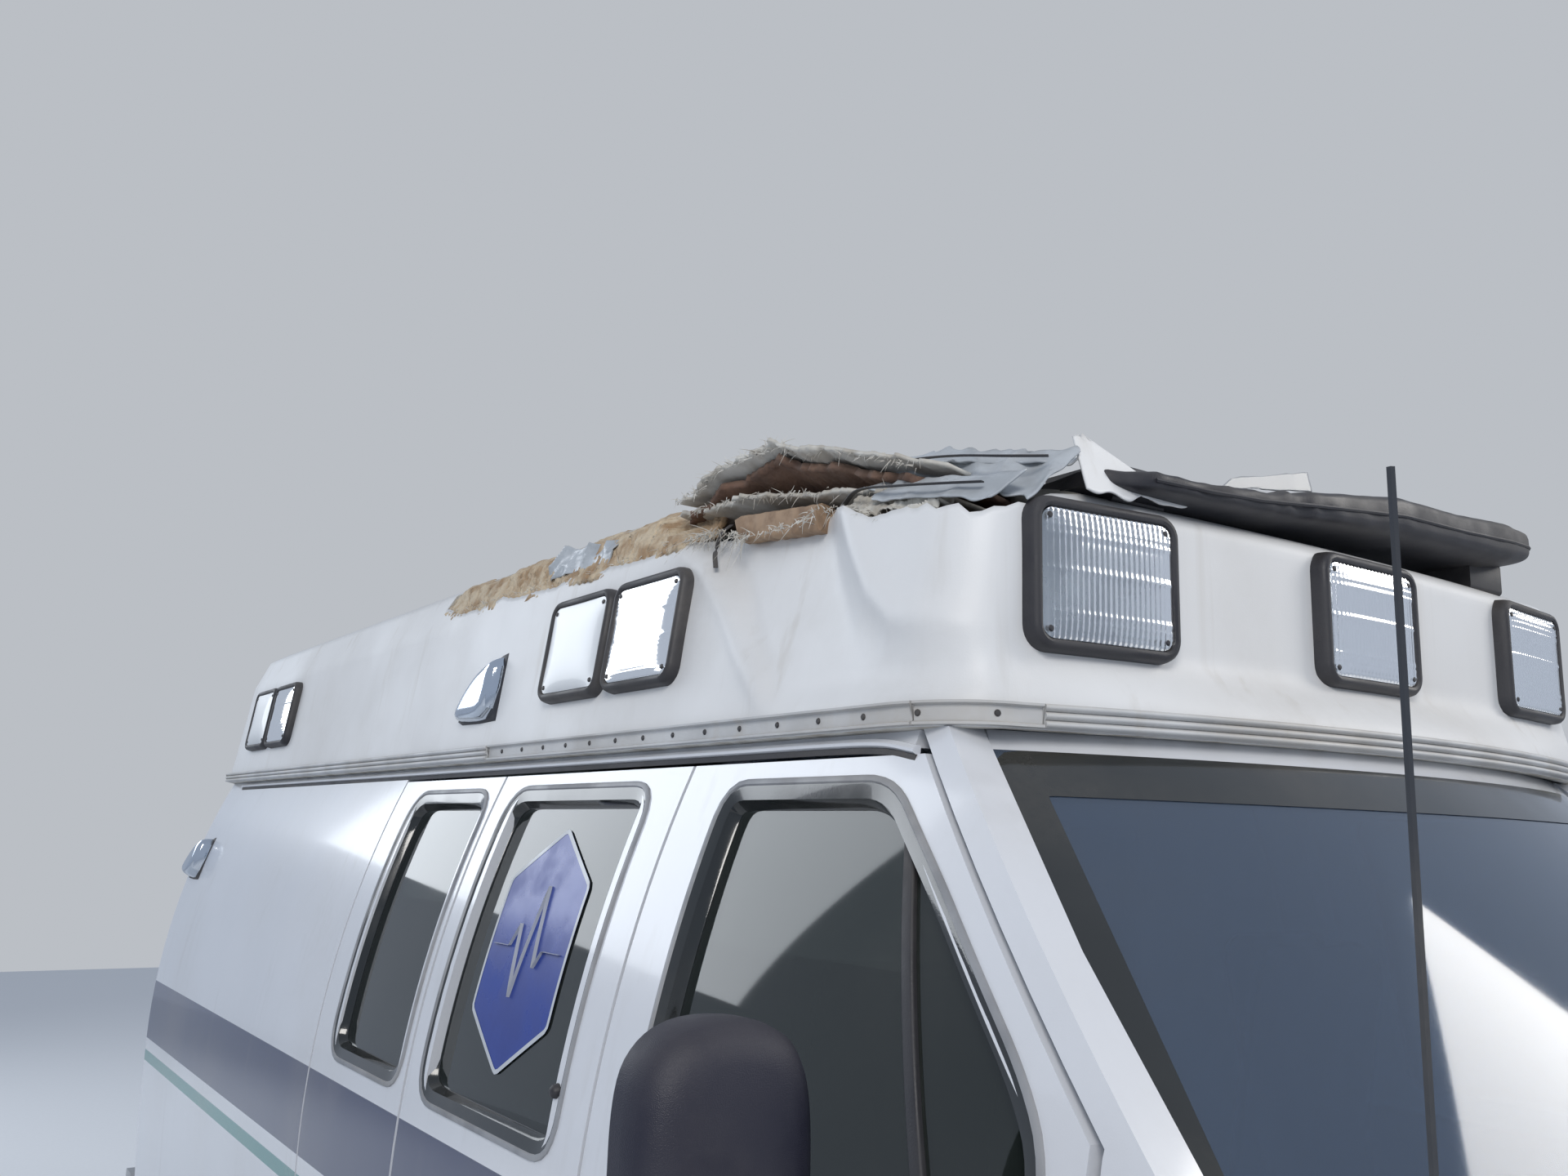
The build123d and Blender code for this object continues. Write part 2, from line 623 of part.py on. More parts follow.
# Grille panel between the wings, below the bonnet
GRILLE_TOP = Z_HOOD_LIP - HOOD_GAP
GRILLE_LOW = 710
grille_region = block(X_NOSE - 300, X_NOSE + 10, -HOOD_HALF_WIDTH, HOOD_HALF_WIDTH, GRILLE_LOW, GRILLE_TOP)
grille_panel = common(nose_shell, grille_region)
HEADLAMP_OUT = 775
HEADLAMP_IN = 560
HEADLAMP_LOW = 800
HEADLAMP_TOP = 1010
GRILLE_HALF = 520
grille_cuts = [block(X_NOSE - 60, X_NOSE + 5, -GRILLE_HALF, GRILLE_HALF, 770, 1030)]
for side in (-1, 1):
    low_y = min(side * HEADLAMP_IN, side * HEADLAMP_OUT)
    high_y = max(side * HEADLAMP_IN, side * HEADLAMP_OUT)
    grille_cuts.append(block(X_NOSE - 60, X_NOSE + 5, low_y, high_y, HEADLAMP_LOW, HEADLAMP_TOP))
bars = [block(X_NOSE - 24, X_NOSE - 6, -GRILLE_HALF, GRILLE_HALF, z - 9, z + 9) for z in (834, 900, 966)]
posts = [block(X_NOSE - 36, X_NOSE - 20, y - 7, y + 7, 770, 1030) for y in (-260, 0, 260)]
keep("grille", joined(cut(grille_panel, *grille_cuts), *bars, *posts))
lamps = [
    block(X_NOSE - 60, X_NOSE - 6, *across(HEADLAMP_IN, HEADLAMP_OUT, side), HEADLAMP_LOW, HEADLAMP_TOP)
    for side in (-1, 1)
]
with BuildPart() as headlamps:
    for lamp in lamps:
        add(lamp)
keep("headlamps", headlamps.part)

# Bumpers
with BuildPart() as front_bumper:
    with BuildSketch(Plane.XY.offset(490)):
        with BuildLine():
            ThreePointArc((2690, -960), (HALF_LENGTH, 0), (2690, 960))
            Line((2690, 960), (2620, 960))
            ThreePointArc((2620, 960), (HALF_LENGTH - 60, 0), (2620, -960))
            Line((2620, -960), (2690, -960))
        make_face()
    extrude(amount=200)
keep("front_bumper", front_bumper.part)

BUMPER_TOP = 600
BALL_HOLE_RADIUS = 13
STEP_PLATE = 12
with BuildPart() as rear_bumper:
    add(block(-HALF_LENGTH, X_BODY_REAR - 12, -980, 980, BUMPER_TOP - STEP_PLATE, BUMPER_TOP))
    add(block(-HALF_LENGTH, -HALF_LENGTH + 12, -980, 980, 470, BUMPER_TOP))
    for y in (-968, -430, 430, 968):
        add(block(-HALF_LENGTH, X_BODY_REAR - 12, y - 12, y + 12, 470, BUMPER_TOP))
    with Locations((-2720, 0, BUMPER_TOP)):
        Hole(BALL_HOLE_RADIUS, STEP_PLATE)
keep("rear_bumper", rear_bumper.part)

# Frame rails, cross members and body mounts
RAIL_Y = 430
RAIL_WIDTH = 70
RAIL_LOW = 480
RAIL_TOP = 620
RAIL_FRONT = 2600
RAIL_INSIDE = RAIL_Y - RAIL_WIDTH / 2
RAIL_OUTSIDE = RAIL_Y + RAIL_WIDTH / 2
MEMBER_PLACES = (-2450, -1900, -700, 300, 1200, 2560)
PAD_PLACES = (-2300, -1000, 200, 1300)
PAD_HALF = 40
members = [
    block(x - PAD_HALF, x + PAD_HALF, -RAIL_Y, RAIL_Y, RAIL_LOW + 20, RAIL_TOP - 20) for x in MEMBER_PLACES
]
rail_pieces = []
for side in (-1, 1):
    rail_across = across(RAIL_INSIDE, RAIL_OUTSIDE, side)
    pad_across = across(RAIL_Y - 30, RAIL_Y + 30, side)
    tower_across = across(RAIL_Y, 560, side)
    rail_pieces.append(block(X_BODY_REAR - 12, RAIL_FRONT, *rail_across, RAIL_LOW, RAIL_TOP))
    rail_pieces.append(block(X_FRONT_AXLE - 50, X_FRONT_AXLE + 50, *tower_across, 560, RAIL_TOP))
    rail_pieces.append(block(RAIL_FRONT, RAIL_FRONT + 30, *pad_across, 500, 600))
    for x in PAD_PLACES:
        rail_pieces.append(
            block(x - PAD_HALF, x + PAD_HALF, *pad_across, RAIL_TOP, Z_FLOOR - FLOOR_THICKNESS)
        )
keep("frame_rails", joined(*rail_pieces, *members))

# Floor with rear wheel housings
floor_plate = body_block(X_REAR_CORNER, SCREEN_BASE_X - 190, POST, Z_FLOOR - FLOOR_THICKNESS, Z_FLOOR)
floor_rear = block(X_BODY_REAR + REAR_WALL, X_REAR_CORNER, -870, 870, Z_FLOOR - FLOOR_THICKNESS, Z_FLOOR)


def wheel_room(x, radius, y_inner):
    """Room above one right wheel, of the same flats as the tubs of the wings."""
    return lying_prism(x, -y_inner, -1100, TYRE_RADIUS, radius, TUB_FLATS)


HOUSING_SHEET = 14
front_room = wheel_room(X_FRONT_AXLE, ARCH_RADIUS + HOUSING_SHEET, 540)
rear_room = wheel_room(X_REAR_AXLE, ARCH_RADIUS, 690)
housing_bulk = wheel_room(X_REAR_AXLE, ARCH_RADIUS + HOUSING_SHEET, 690 - 12)
housing_region = body_block(-2100, -900, WALL + 0.5, Z_FLOOR - FLOOR_THICKNESS, 1000)
housing = cut(common(housing_bulk, housing_region), rear_room)
engine_cover = block(1340, X_BULKHEAD, -ENGINE_ROOM_Y - 20, ENGINE_ROOM_Y + 20, Z_FLOOR, 1100)
engine_room = block(1360, X_BULKHEAD, -ENGINE_ROOM_Y, ENGINE_ROOM_Y, 600, 1080)
floor = cut(
    joined(floor_plate, floor_rear, housing, mirrored(housing), engine_cover),
    engine_room,
    front_room,
    mirrored(front_room),
    rear_room,
    mirrored(rear_room),
)
keep("floor_pan", floor)


# Raised roof: a lean-walled box with a bowed face, above a brow that overhangs the windscreen
SHOULDER_IN = 38
Z_ROOF_SEAT = Z_BODY_TOP
ROOF_REAR_RADIUS = 80
FACE_EDGE = (X_ROOF_FACE, 2262)
FACE_BREAK = (1345, 2303)
RAMP_TOP = (460, 2452)
Z_BROW_LIP = 1998
BROW_HEEL = (1400, 2064)


def roof_section(inset, plain=False):
    """Cross-section of the raised roof, drawn out over its length. The plain one has straight sides alone."""
    base = ROOF_HALF_WIDTH - inset
    crease = base - ROOF_LEAN * (Z_ROOF_CREASE - Z_ROOF_SEAT)
    shoulder = crease - SHOULDER_IN
    z_shoulder = Z_ROOF_SHOULDER - inset
    top = Z_ROOF_CROWN - inset
    with BuildPart() as form:
        with BuildSketch(Plane.YZ.offset(X_BODY_REAR - 20)):
            with BuildLine():
                wall = [(base, Z_ROOF_SEAT), (crease, Z_ROOF_CREASE), (shoulder, z_shoulder)]
                bend = [(shoulder - 90, top - 36), (shoulder - 260, top - 14)]
                if plain:
                    Polyline(*wall, *bend, (0, top), *[(-y, z) for y, z in reversed(wall + bend)], close=True)
                else:
                    Polyline(*wall)
                    ThreePointArc(wall[2], *bend)
                    ThreePointArc(bend[1], (0, top), (-bend[1][0], bend[1][1]))
                    other_bend = [(-y, z) for y, z in reversed(bend)]
                    ThreePointArc(*other_bend, (-shoulder, z_shoulder))
                    Polyline(*[(-y, z) for y, z in reversed(wall)])
                    Line((-base, Z_ROOF_SEAT), (base, Z_ROOF_SEAT))
            make_face()
        extrude(amount=X_ROOF_BROW - X_BODY_REAR + 60)
    return form.part


def roof_plan(x_middle, inset, plain=False):
    """Upright prism with a bowed front and rounded front corners. The plain one has a front of five flats."""
    half = ROOF_HALF_WIDTH - inset
    x_corner = X_ROOF_CORNER - inset
    with BuildPart() as prism:
        with BuildSketch(Plane.XY.offset(Z_ROOF_SEAT - 10)) as plan:
            with BuildLine():
                if plain:
                    x_flat = x_middle - inset - 8
                    Polyline((x_corner, -half), (x_flat, -half / 3), (x_flat, half / 3), (x_corner, half))
                else:
                    ThreePointArc((x_corner, -half), (x_middle - inset, 0), (x_corner, half))
                Line((x_corner, half), (X_BODY_REAR + inset, half))
                Line((X_BODY_REAR + inset, half), (X_BODY_REAR + inset, -half))
                Line((X_BODY_REAR + inset, -half), (x_corner, -half))
            make_face()
            corners = plan.vertices().filter_by(lambda corner: corner.X > 0 and abs(corner.Y) > half - 1)
            if plain:
                chamfer(corners, 0.6 * ROOF_CORNER_RADIUS)
            else:
                fillet(corners, ROOF_CORNER_RADIUS - inset)
        extrude(amount=600)
    return prism.part


def roof_body(inset, plain):
    """The roof above the brow: section, plan with the face's bow, and side profile in common."""
    with BuildPart() as profile:
        with BuildSketch(Plane.XZ.offset(-1000)) as outline:
            with BuildLine():
                Polyline(
                    (X_ROOF_BROW + 20, Z_ROOF_SEAT - 5),
                    (X_ROOF_BROW + 20, FACE_EDGE[1] - 55 - inset),
                    (FACE_BREAK[0], FACE_BREAK[1] - inset),
                    (RAMP_TOP[0], RAMP_TOP[1] - inset),
                    (200, Z_ROOF_CROWN + 5 - inset),
                    (X_BODY_REAR + 320, Z_ROOF_CROWN + 5 - inset),
                    (X_BODY_REAR + 60 + inset, 2400 - inset),
                    (X_BODY_REAR + inset, Z_ROOF_SEAT - 5),
                    close=True,
                )
            make_face()
            if not plain:
                rear_top = outline.vertices().sort_by_distance((X_BODY_REAR + 60, 1000, 2400))[0]
                fillet(rear_top, ROOF_REAR_RADIUS)
        extrude(amount=2000)
    return common(roof_section(inset, plain), roof_plan(X_ROOF_FACE, inset, plain), profile.part)


def roof_brow(inset, plain):
    """The overhang above the windscreen: an upright lip and a shelf that runs back to the face."""
    shelf = side_prism(
        [
            (0, Z_ROOF_SEAT - 5),
            (X_ROOF_BROW + 20, Z_ROOF_SEAT - 5),
            (X_ROOF_BROW + 20, Z_BROW_LIP - inset),
            (X_ROOF_BROW - inset, Z_BROW_LIP - inset),
            (BROW_HEEL[0] - inset, BROW_HEEL[1] - inset),
            (0, BROW_HEEL[1] - inset),
        ],
        0, 1000, -1000,
    )
    return common(roof_section(inset, plain), roof_plan(X_ROOF_BROW, inset, plain), shelf)


def roof_form(inset, plain=False):
    """Whole form of the raised roof, inset mm inside its skin."""
    return joined(roof_body(inset, plain), roof_brow(inset, plain))


roof_bulk = roof_form(0)

# The tear along the right shoulder. Each row: x, height of the torn edge, y that the tear reaches in to
TEAR_ROWS = (
    (-640, 2370, -752),
    (-540, 2344, -728),
    (-380, 2336, -714),
    (-180, 2345, -722),
    (60, 2330, -704),
    (300, 2340, -700),
    (460, 2322, -690),
    (560, 2338, -642),
    (720, 2298, -600),
    (880, 2316, -566),
    (1010, 2284, -560),
    (1130, 2296, -572),
    (1240, 2260, -610),
    (1330, 2292, -660),
)
ABOVE_ROOF = 2600


def tear_volume(sink, deeper, x_last):
    """Everything outboard of and above the torn edge, up to one x, as stepped prisms."""
    pieces = []
    for (x_a, z_a, y_a), (x_b, z_b, y_b) in zip(TEAR_ROWS, TEAR_ROWS[1:]):
        if x_b > x_last:
            break
        outline = [(x_a, z_a - sink), (x_b, z_b - sink), (x_b, ABOVE_ROOF), (x_a, ABOVE_ROOF)]
        pieces.append(side_prism(outline, 0, max(y_a, y_b) + deeper, -1100))
    return joined(*pieces)


def sheet_prism(points, thickness, y_from, y_to):
    """Folded sheet seen from the side: its upper line and its thickness, drawn out across the vehicle."""
    under = [(x, z - thickness) for x, z in reversed(points)]
    return side_prism([*points, *under], 0, y_from, y_to)


LAMINATE = 7
flap_line = [(-520, 2366), (-600, 2412), (-660, 2450), (-712, 2476), (-768, 2452)]
with BuildPart() as flap:
    with BuildSketch(Plane.YZ.offset(545)):
        with BuildLine():
            Polyline(*flap_line, *[(y + 2, z - 10) for y, z in reversed(flap_line)], close=True)
        make_face()
    extrude(amount=410)
torn_flap = cut(
    flap.part,
    side_prism([(540, 2400), (640, 2500), (540, 2500)]),
    side_prism([(960, 2400), (960, 2500), (850, 2500)]),
)
crumple_line = [(985, 2322), (1060, 2388), (1150, 2348), (1235, 2402), (1300, 2362), (1372, 2372)]
crumple = sheet_prism(crumple_line, LAMINATE, -560, -735)
roof_room = roof_form(ROOF_WALL, True)
roof_shell = cut(roof_bulk, roof_room)
torn_shell = cut(roof_shell, tear_volume(0, 0, X_ROOF_CORNER))
keep("raised_roof", joined(torn_shell, torn_flap, crumple))

# What the tear lays bare: the cream core under the skin, and a wooden stiffener
CORE_OUTER = 10
core_shell = cut(roof_form(CORE_OUTER), roof_room)
core_strip = cut(common(core_shell, tear_volume(0, 0, 500)), torn_shell)
stiffener = cut(block(740, 980, -744, -704, 2290, 2335), torn_shell)
keep("roof_core", joined(core_strip, stiffener))

# Moulding round the foot of the raised roof, with one length of its insert missing on the right
TRIM_OUT = 14
TRIM_HEIGHT = 35
X_TRIM_REAR = X_BODY_REAR + 40
INSERT_MISSING = (-100, 1270)


def foot_band(outer, inner, z_from, z_to):
    """Band round the foot of the roof between two distances outside its skin."""
    region = block(X_TRIM_REAR, X_ROOF_BROW + 100, -900, 900, Z_ROOF_SEAT + z_from, Z_ROOF_SEAT + z_to)
    grown = common(roof_section(-outer), roof_plan(X_ROOF_BROW, -outer), region)
    core = common(roof_section(-inner), roof_plan(X_ROOF_BROW, -inner), region)
    return cut(grown, core)


trim_channel = common(
    foot_band(TRIM_OUT, 5, 4, TRIM_HEIGHT - 4),
    block(*INSERT_MISSING, -900, 0, Z_ROOF_SEAT, Z_ROOF_SEAT + 60),
)
trim = cut(
    foot_band(TRIM_OUT, 0, 0, TRIM_HEIGHT),
    trim_channel,
    block(1288, 1290, -900, 900, Z_ROOF_SEAT, Z_ROOF_SEAT + 60),
)
keep("roof_trim", trim)

# Warning lamps: a bezel with cut corners and a raised lens
LAMP_WIDTH = 264
LAMP_HEIGHT = 213
BEZEL_DEPTH = 24
LENS_DEPTH = 30
BEZEL_BORDER = 18
LAMP_CORNER = 24
Z_LAMP = 2170
LEAN_LENGTH = hypot(1, ROOF_LEAN)
Y_WALL_AT_LAMP = ROOF_HALF_WIDTH - ROOF_LEAN * (Z_LAMP - Z_ROOF_SEAT)


def lamp(plane, sunk):
    """One lamp on a plane of the roof, with its back sunk some way below it."""
    with BuildPart() as body:
        with BuildSketch(plane.offset(-sunk)) as bezel:
            Rectangle(LAMP_WIDTH, LAMP_HEIGHT)
            chamfer(bezel.vertices(), LAMP_CORNER)
        extrude(amount=BEZEL_DEPTH + sunk)
        with BuildSketch(plane.offset(BEZEL_DEPTH)) as lens:
            Rectangle(LAMP_WIDTH - 2 * BEZEL_BORDER, LAMP_HEIGHT - 2 * BEZEL_BORDER)
            chamfer(lens.vertices(), LAMP_CORNER / 2)
        extrude(amount=LENS_DEPTH - BEZEL_DEPTH)
    return body.part


FACE_BOW = X_ROOF_FACE - X_ROOF_CORNER
front_lamps = []
for y in (-572, 0, 572):
    x_face = X_ROOF_FACE - FACE_BOW * (y / ROOF_HALF_WIDTH) ** 2
    front_lamps.append(lamp(Plane(origin=(x_face, y, Z_LAMP), x_dir=(0, 1, 0), z_dir=(1, 0, 0)), 50))
keep("front_warning_lamps", cut(joined(*front_lamps), roof_bulk))

SIDE_LAMP_CENTRES = (530, 255, -1955, -2225)
wall_lamps = []
wall_normal = (0, -1 / LEAN_LENGTH, ROOF_LEAN / LEAN_LENGTH)
for x in SIDE_LAMP_CENTRES:
    wall = Plane(origin=(x, -Y_WALL_AT_LAMP, Z_LAMP), x_dir=(1, 0, 0), z_dir=wall_normal)
    wall_lamps.append(lamp(wall, 0))
keep("side_warning_lamps", both_sides(joined(*wall_lamps)))


def scoop(x_rear, x_front, z_low, z_high, y_rear, y_front, y_out):
    """Plated air scoop: open-fronted fin that grows out of the side towards the front."""
    fin = side_prism([(x_rear, z_low), (x_front, z_low - 6), (x_front, z_high), (x_front - 70, z_high - 12)])
    with BuildPart() as wedge:
        with BuildSketch(Plane.XY.offset(z_low - 20)):
            with BuildLine():
                Polyline(
                    (x_rear, y_rear + 60),
                    (x_rear, y_rear),
                    (x_front, y_out),
                    (x_front, y_front + 60),
                    close=True,
                )
            make_face()
        extrude(amount=z_high - z_low + 60)
    return common(fin, wedge.part)


high_scoop = cut(scoop(-370, -120, 2050, 2197, -806, -806, -858), roof_bulk)
body_bulk = body_block(X_BODY_REAR, X_NOSE, 0, Z_BODY_BOTTOM, Z_BODY_TOP)
low_scoop = cut(scoop(-2600, -2380, 1622, 1762, -900, -930, -985), body_bulk)
keep("roof_vents", both_sides(joined(high_scoop, low_scoop)))

# Light bar across the front of the raised roof, on two feet. The blow bent its right half down and crushed it
BAR_REAR = 1200
BAR_FRONT = 1440
BAR_CHAMFER = 12
# Round the bar as seen from the front: y and z, from the left tip over the top to the crushed right end and back
BAR_OUTLINE = (
    (606, 2389),
    (565, 2408),
    (450, 2415),
    (100, 2403),
    (-160, 2367),
    (-400, 2336),
    (-585, 2340),
    (-585, 2306),
    (-400, 2300),
    (-160, 2312),
    (100, 2330),
    (450, 2338),
    (565, 2362),
)
with BuildPart() as light_bar:
    with BuildSketch(Plane.YZ.offset(BAR_REAR)):
        with BuildLine():
            Polyline(*BAR_OUTLINE, close=True)
        make_face()
    extrude(amount=BAR_FRONT - BAR_REAR)
    chamfer(light_bar.edges().filter_by(Plane.YZ), BAR_CHAMFER)
bar_feet = [block(1230, 1360, *across(430, 540, side), 2240, 2345) for side in (-1, 1)]
keep("light_bar", cut(joined(light_bar.part, *bar_feet), roof_bulk, crumple))

# Whip antenna on the right wing
ANTENNA = (1985, -885, 1300)
with BuildPart() as antenna:
    with BuildSketch(Plane.XY.offset(ANTENNA[2])):
        with Locations((ANTENNA[0], ANTENNA[1])):
            RegularPolygon(18, 8)
    extrude(amount=40)
    with BuildSketch(Plane.XY.offset(ANTENNA[2])):
        with Locations((ANTENNA[0], ANTENNA[1])):
            RegularPolygon(4, 6)
    extrude(amount=840)
keep("antenna", cut(antenna.part, right_fender, cowl))

# Door mirrors: a tall shell with its glass set in at the back, on two arms
MIRROR_X = 1450
MIRROR_Y = -1200
MIRROR_HALF = 102
MIRROR_LOW = 1290
MIRROR_TOP = 1642
MIRROR_DEPTH = 80
with BuildPart() as mirror_head:
    with BuildSketch(Plane.YZ.offset(MIRROR_X - MIRROR_DEPTH / 2)) as outline:
        with BuildLine():
            Polyline(
                (MIRROR_Y - MIRROR_HALF, MIRROR_LOW + 40),
                (MIRROR_Y - MIRROR_HALF, MIRROR_TOP - 70),
                (MIRROR_Y - MIRROR_HALF + 22, MIRROR_TOP - 24),
                (MIRROR_Y - MIRROR_HALF + 70, MIRROR_TOP),
                (MIRROR_Y + MIRROR_HALF - 60, MIRROR_TOP - 2),
                (MIRROR_Y + MIRROR_HALF - 14, MIRROR_TOP - 30),
                (MIRROR_Y + MIRROR_HALF, MIRROR_TOP - 84),
                (MIRROR_Y + MIRROR_HALF, MIRROR_LOW + 30),
                (MIRROR_Y + MIRROR_HALF - 30, MIRROR_LOW),
                (MIRROR_Y - MIRROR_HALF + 40, MIRROR_LOW),
                close=True,
            )
        make_face()
    extrude(amount=MIRROR_DEPTH)
    chamfer(mirror_head.edges().filter_by(Plane.YZ).group_by(Axis.X)[-1], 26)
    with BuildSketch(Plane.YZ.offset(MIRROR_X - MIRROR_DEPTH / 2)):
        with Locations((MIRROR_Y, (MIRROR_LOW + MIRROR_TOP) / 2)):
            Rectangle(2 * MIRROR_HALF - 40, MIRROR_TOP - MIRROR_LOW - 110)
    extrude(amount=8, mode=Mode.SUBTRACT)
MIRROR_ARM_LOW = (1264, 1304)
MIRROR_ARM_HEIGHT = 34
mirror_arms = [
    block(MIRROR_X - 20, MIRROR_X + 20, MIRROR_Y, -940, z, z + MIRROR_ARM_HEIGHT) for z in MIRROR_ARM_LOW
]
right_mirror = joined(mirror_head.part, cut(joined(*mirror_arms), body_bulk))
keep("mirror_right", right_mirror)
keep("mirror_left", mirrored(right_mirror))

with BuildPart() as tail_lamps:
    for side in (-1, 1):
        add(block(X_BODY_REAR - 12, X_BODY_REAR + 30, *across(932, 988, side), 940, 1240))
keep("tail_lamps", cut(tail_lamps.part, rear_frame.part))

# Wheels, hubs, knuckles and axles
SPINDLE_RADIUS = 28
RUNNING_FIT = 0.06
HUB_RADIUS = 62
WHEEL_FLATS = 24
TYRE_HALF = TYRE_WIDTH / 2
TYRE_SHOULDER = 22
BEAD_CHAMFER = 30
RIM_HALF = 92
RIM_INNER = 192
HAND_HOLES = 8
HAND_HOLE_RADIUS = 17
HAND_HOLE_CIRCLE = 148


def lying_bar(x, y_from, y_to, z, radius):
    """Round bar across the vehicle."""
    with BuildPart() as bar:
        with BuildSketch(Plane.XZ.offset(-y_from)):
            with Locations((x, z)):
                Circle(radius)
        extrude(amount=y_from - y_to)
    return bar.part


def standing_bar(x, y, z_from, z_to, radius, inside_circle=True):
    """Upright twelve-sided bar whose corners, or else whose flats, lie on the circle."""
    with BuildPart() as bar:
        with BuildSketch(Plane.XY.offset(z_from)):
            with Locations((x, y)):
                RegularPolygon(radius, 12, major_radius=inside_circle)
        extrude(amount=z_to - z_from)
    return bar.part


def tyre(x, y):
    """Tyre as a drum of flats, one for each row of tread, cut back at the shoulders and the beads."""
    with BuildPart() as drum:
        add(lying_prism(x, y + TYRE_HALF, y - TYRE_HALF, TYRE_RADIUS, TYRE_RADIUS, WHEEL_FLATS))
        chamfer(drum.edges().filter_by(Plane.XZ), TYRE_SHOULDER)
        seat_room = lying_prism(x, y + TYRE_HALF, y - TYRE_HALF, TYRE_RADIUS, RIM_RADIUS, WHEEL_FLATS)
        add(seat_room, mode=Mode.SUBTRACT)
        bead_edges = drum.edges().filter_by(Plane.XZ).sort_by(Edge.length)[: 2 * WHEEL_FLATS]
        chamfer(bead_edges, BEAD_CHAMFER)
    return drum.part


def rim(x, y, outboard):
    """Steel wheel: a barrel, a disc set towards the outside with hand holes, and a bored hub."""
    disc_in, disc_out = y + outboard * 18, y + outboard * 32
    hub_in, hub_out = y - outboard * 20, y + outboard * 58
    barrel = cut(
        lying_prism(x, y + RIM_HALF, y - RIM_HALF, TYRE_RADIUS, RIM_RADIUS, WHEEL_FLATS),
        lying_prism(x, y + RIM_HALF, y - RIM_HALF, TYRE_RADIUS, RIM_INNER, WHEEL_FLATS),
    )
    disc = lying_prism(x, max(disc_in, disc_out), min(disc_in, disc_out), TYRE_RADIUS, RIM_INNER, WHEEL_FLATS)
    with BuildPart() as holes:
        with BuildSketch(Plane.XZ.offset(-y - 60)):
            with Locations((x, TYRE_RADIUS)):
                with PolarLocations(HAND_HOLE_CIRCLE, HAND_HOLES):
                    RegularPolygon(HAND_HOLE_RADIUS, 5)
        extrude(amount=120)
    hub = lying_prism(x, max(hub_in, hub_out), min(hub_in, hub_out), TYRE_RADIUS, HUB_RADIUS, 16)
    bore = lying_bar(x, y + 80, y - 80, TYRE_RADIUS, SPINDLE_RADIUS + RUNNING_FIT)
    return cut(joined(barrel, disc, hub), holes.part, bore)


WHEELS = {
    "front_right": (X_FRONT_AXLE, -HALF_TRACK_FRONT),
    "front_left": (X_FRONT_AXLE, HALF_TRACK_FRONT),
    "rear_right": (X_REAR_AXLE, -HALF_TRACK_REAR),
    "rear_left": (X_REAR_AXLE, HALF_TRACK_REAR),
}
for place, (x, y) in WHEELS.items():
    keep(f"tyre_{place}", tyre(x, y))
    keep(f"rim_{place}", rim(x, y, 1 if y > 0 else -1))

KINGPIN_RADIUS = 16
Z_KNUCKLE_LOW = 307
Z_KNUCKLE_TOP = 467
EAR_HEIGHT = 30
EAR_HALF = 30
with BuildPart() as spindle:
    with BuildSketch(Plane.XZ.offset(845)):
        with Locations((X_FRONT_AXLE, TYRE_RADIUS)):
            RegularPolygon(SPINDLE_RADIUS, 20)
    extrude(amount=HALF_TRACK_FRONT + 58 - 845)
back_plate = block(X_FRONT_AXLE - 45, X_FRONT_AXLE + 45, -855, -840, Z_KNUCKLE_LOW, Z_KNUCKLE_TOP)
ear_across = (-845, -KINGPIN_Y + EAR_HALF - 6)
ears = [
    block(X_FRONT_AXLE - EAR_HALF, X_FRONT_AXLE + EAR_HALF, *ear_across, z, z + EAR_HEIGHT)
    for z in (Z_KNUCKLE_LOW, Z_KNUCKLE_TOP - EAR_HEIGHT)
]
kingpin_bore = standing_bar(X_FRONT_AXLE, -KINGPIN_Y, 300, 480, KINGPIN_RADIUS + RUNNING_FIT, False)
knuckle = cut(joined(spindle.part, back_plate, *ears), kingpin_bore)
keep("knuckle_right", knuckle)
keep("knuckle_left", mirrored(knuckle))

# Front axle: a pair of beams with their kingpins, a centre pivot on a hanger, and a spring seat on each side
SPRING_Y = RAIL_Y + 85
BEAM_LOW = 350
BEAM_TOP = 424
BOSS_RADIUS = 23.5
beam_right = joined(
    standing_bar(X_FRONT_AXLE, -KINGPIN_Y, 300, 474, KINGPIN_RADIUS),
    standing_bar(X_FRONT_AXLE, -KINGPIN_Y, BEAM_LOW, BEAM_TOP, BOSS_RADIUS),
    block(X_FRONT_AXLE - 18, X_FRONT_AXLE + 18, -KINGPIN_Y, -40, BEAM_LOW, BEAM_TOP),
    block(X_FRONT_AXLE - 40, X_FRONT_AXLE + 40, -SPRING_Y - 40, -SPRING_Y + 40, 424, 436),
    block(X_FRONT_AXLE - 30, X_FRONT_AXLE + 30, -SPRING_Y - 30, -SPRING_Y + 30, 436, 560),
)
pivot_block = block(X_FRONT_AXLE - 45, X_FRONT_AXLE + 45, -40, 40, 345, 430)
hanger = block(X_FRONT_AXLE - 40, X_FRONT_AXLE + 40, -RAIL_Y + 35, RAIL_Y - 35, 500, 560)
hanger_leg = block(X_FRONT_AXLE - 40, X_FRONT_AXLE + 40, -40, 40, 430, 500)
keep("front_axle", joined(beam_right, mirrored(beam_right), pivot_block, hanger, hanger_leg))

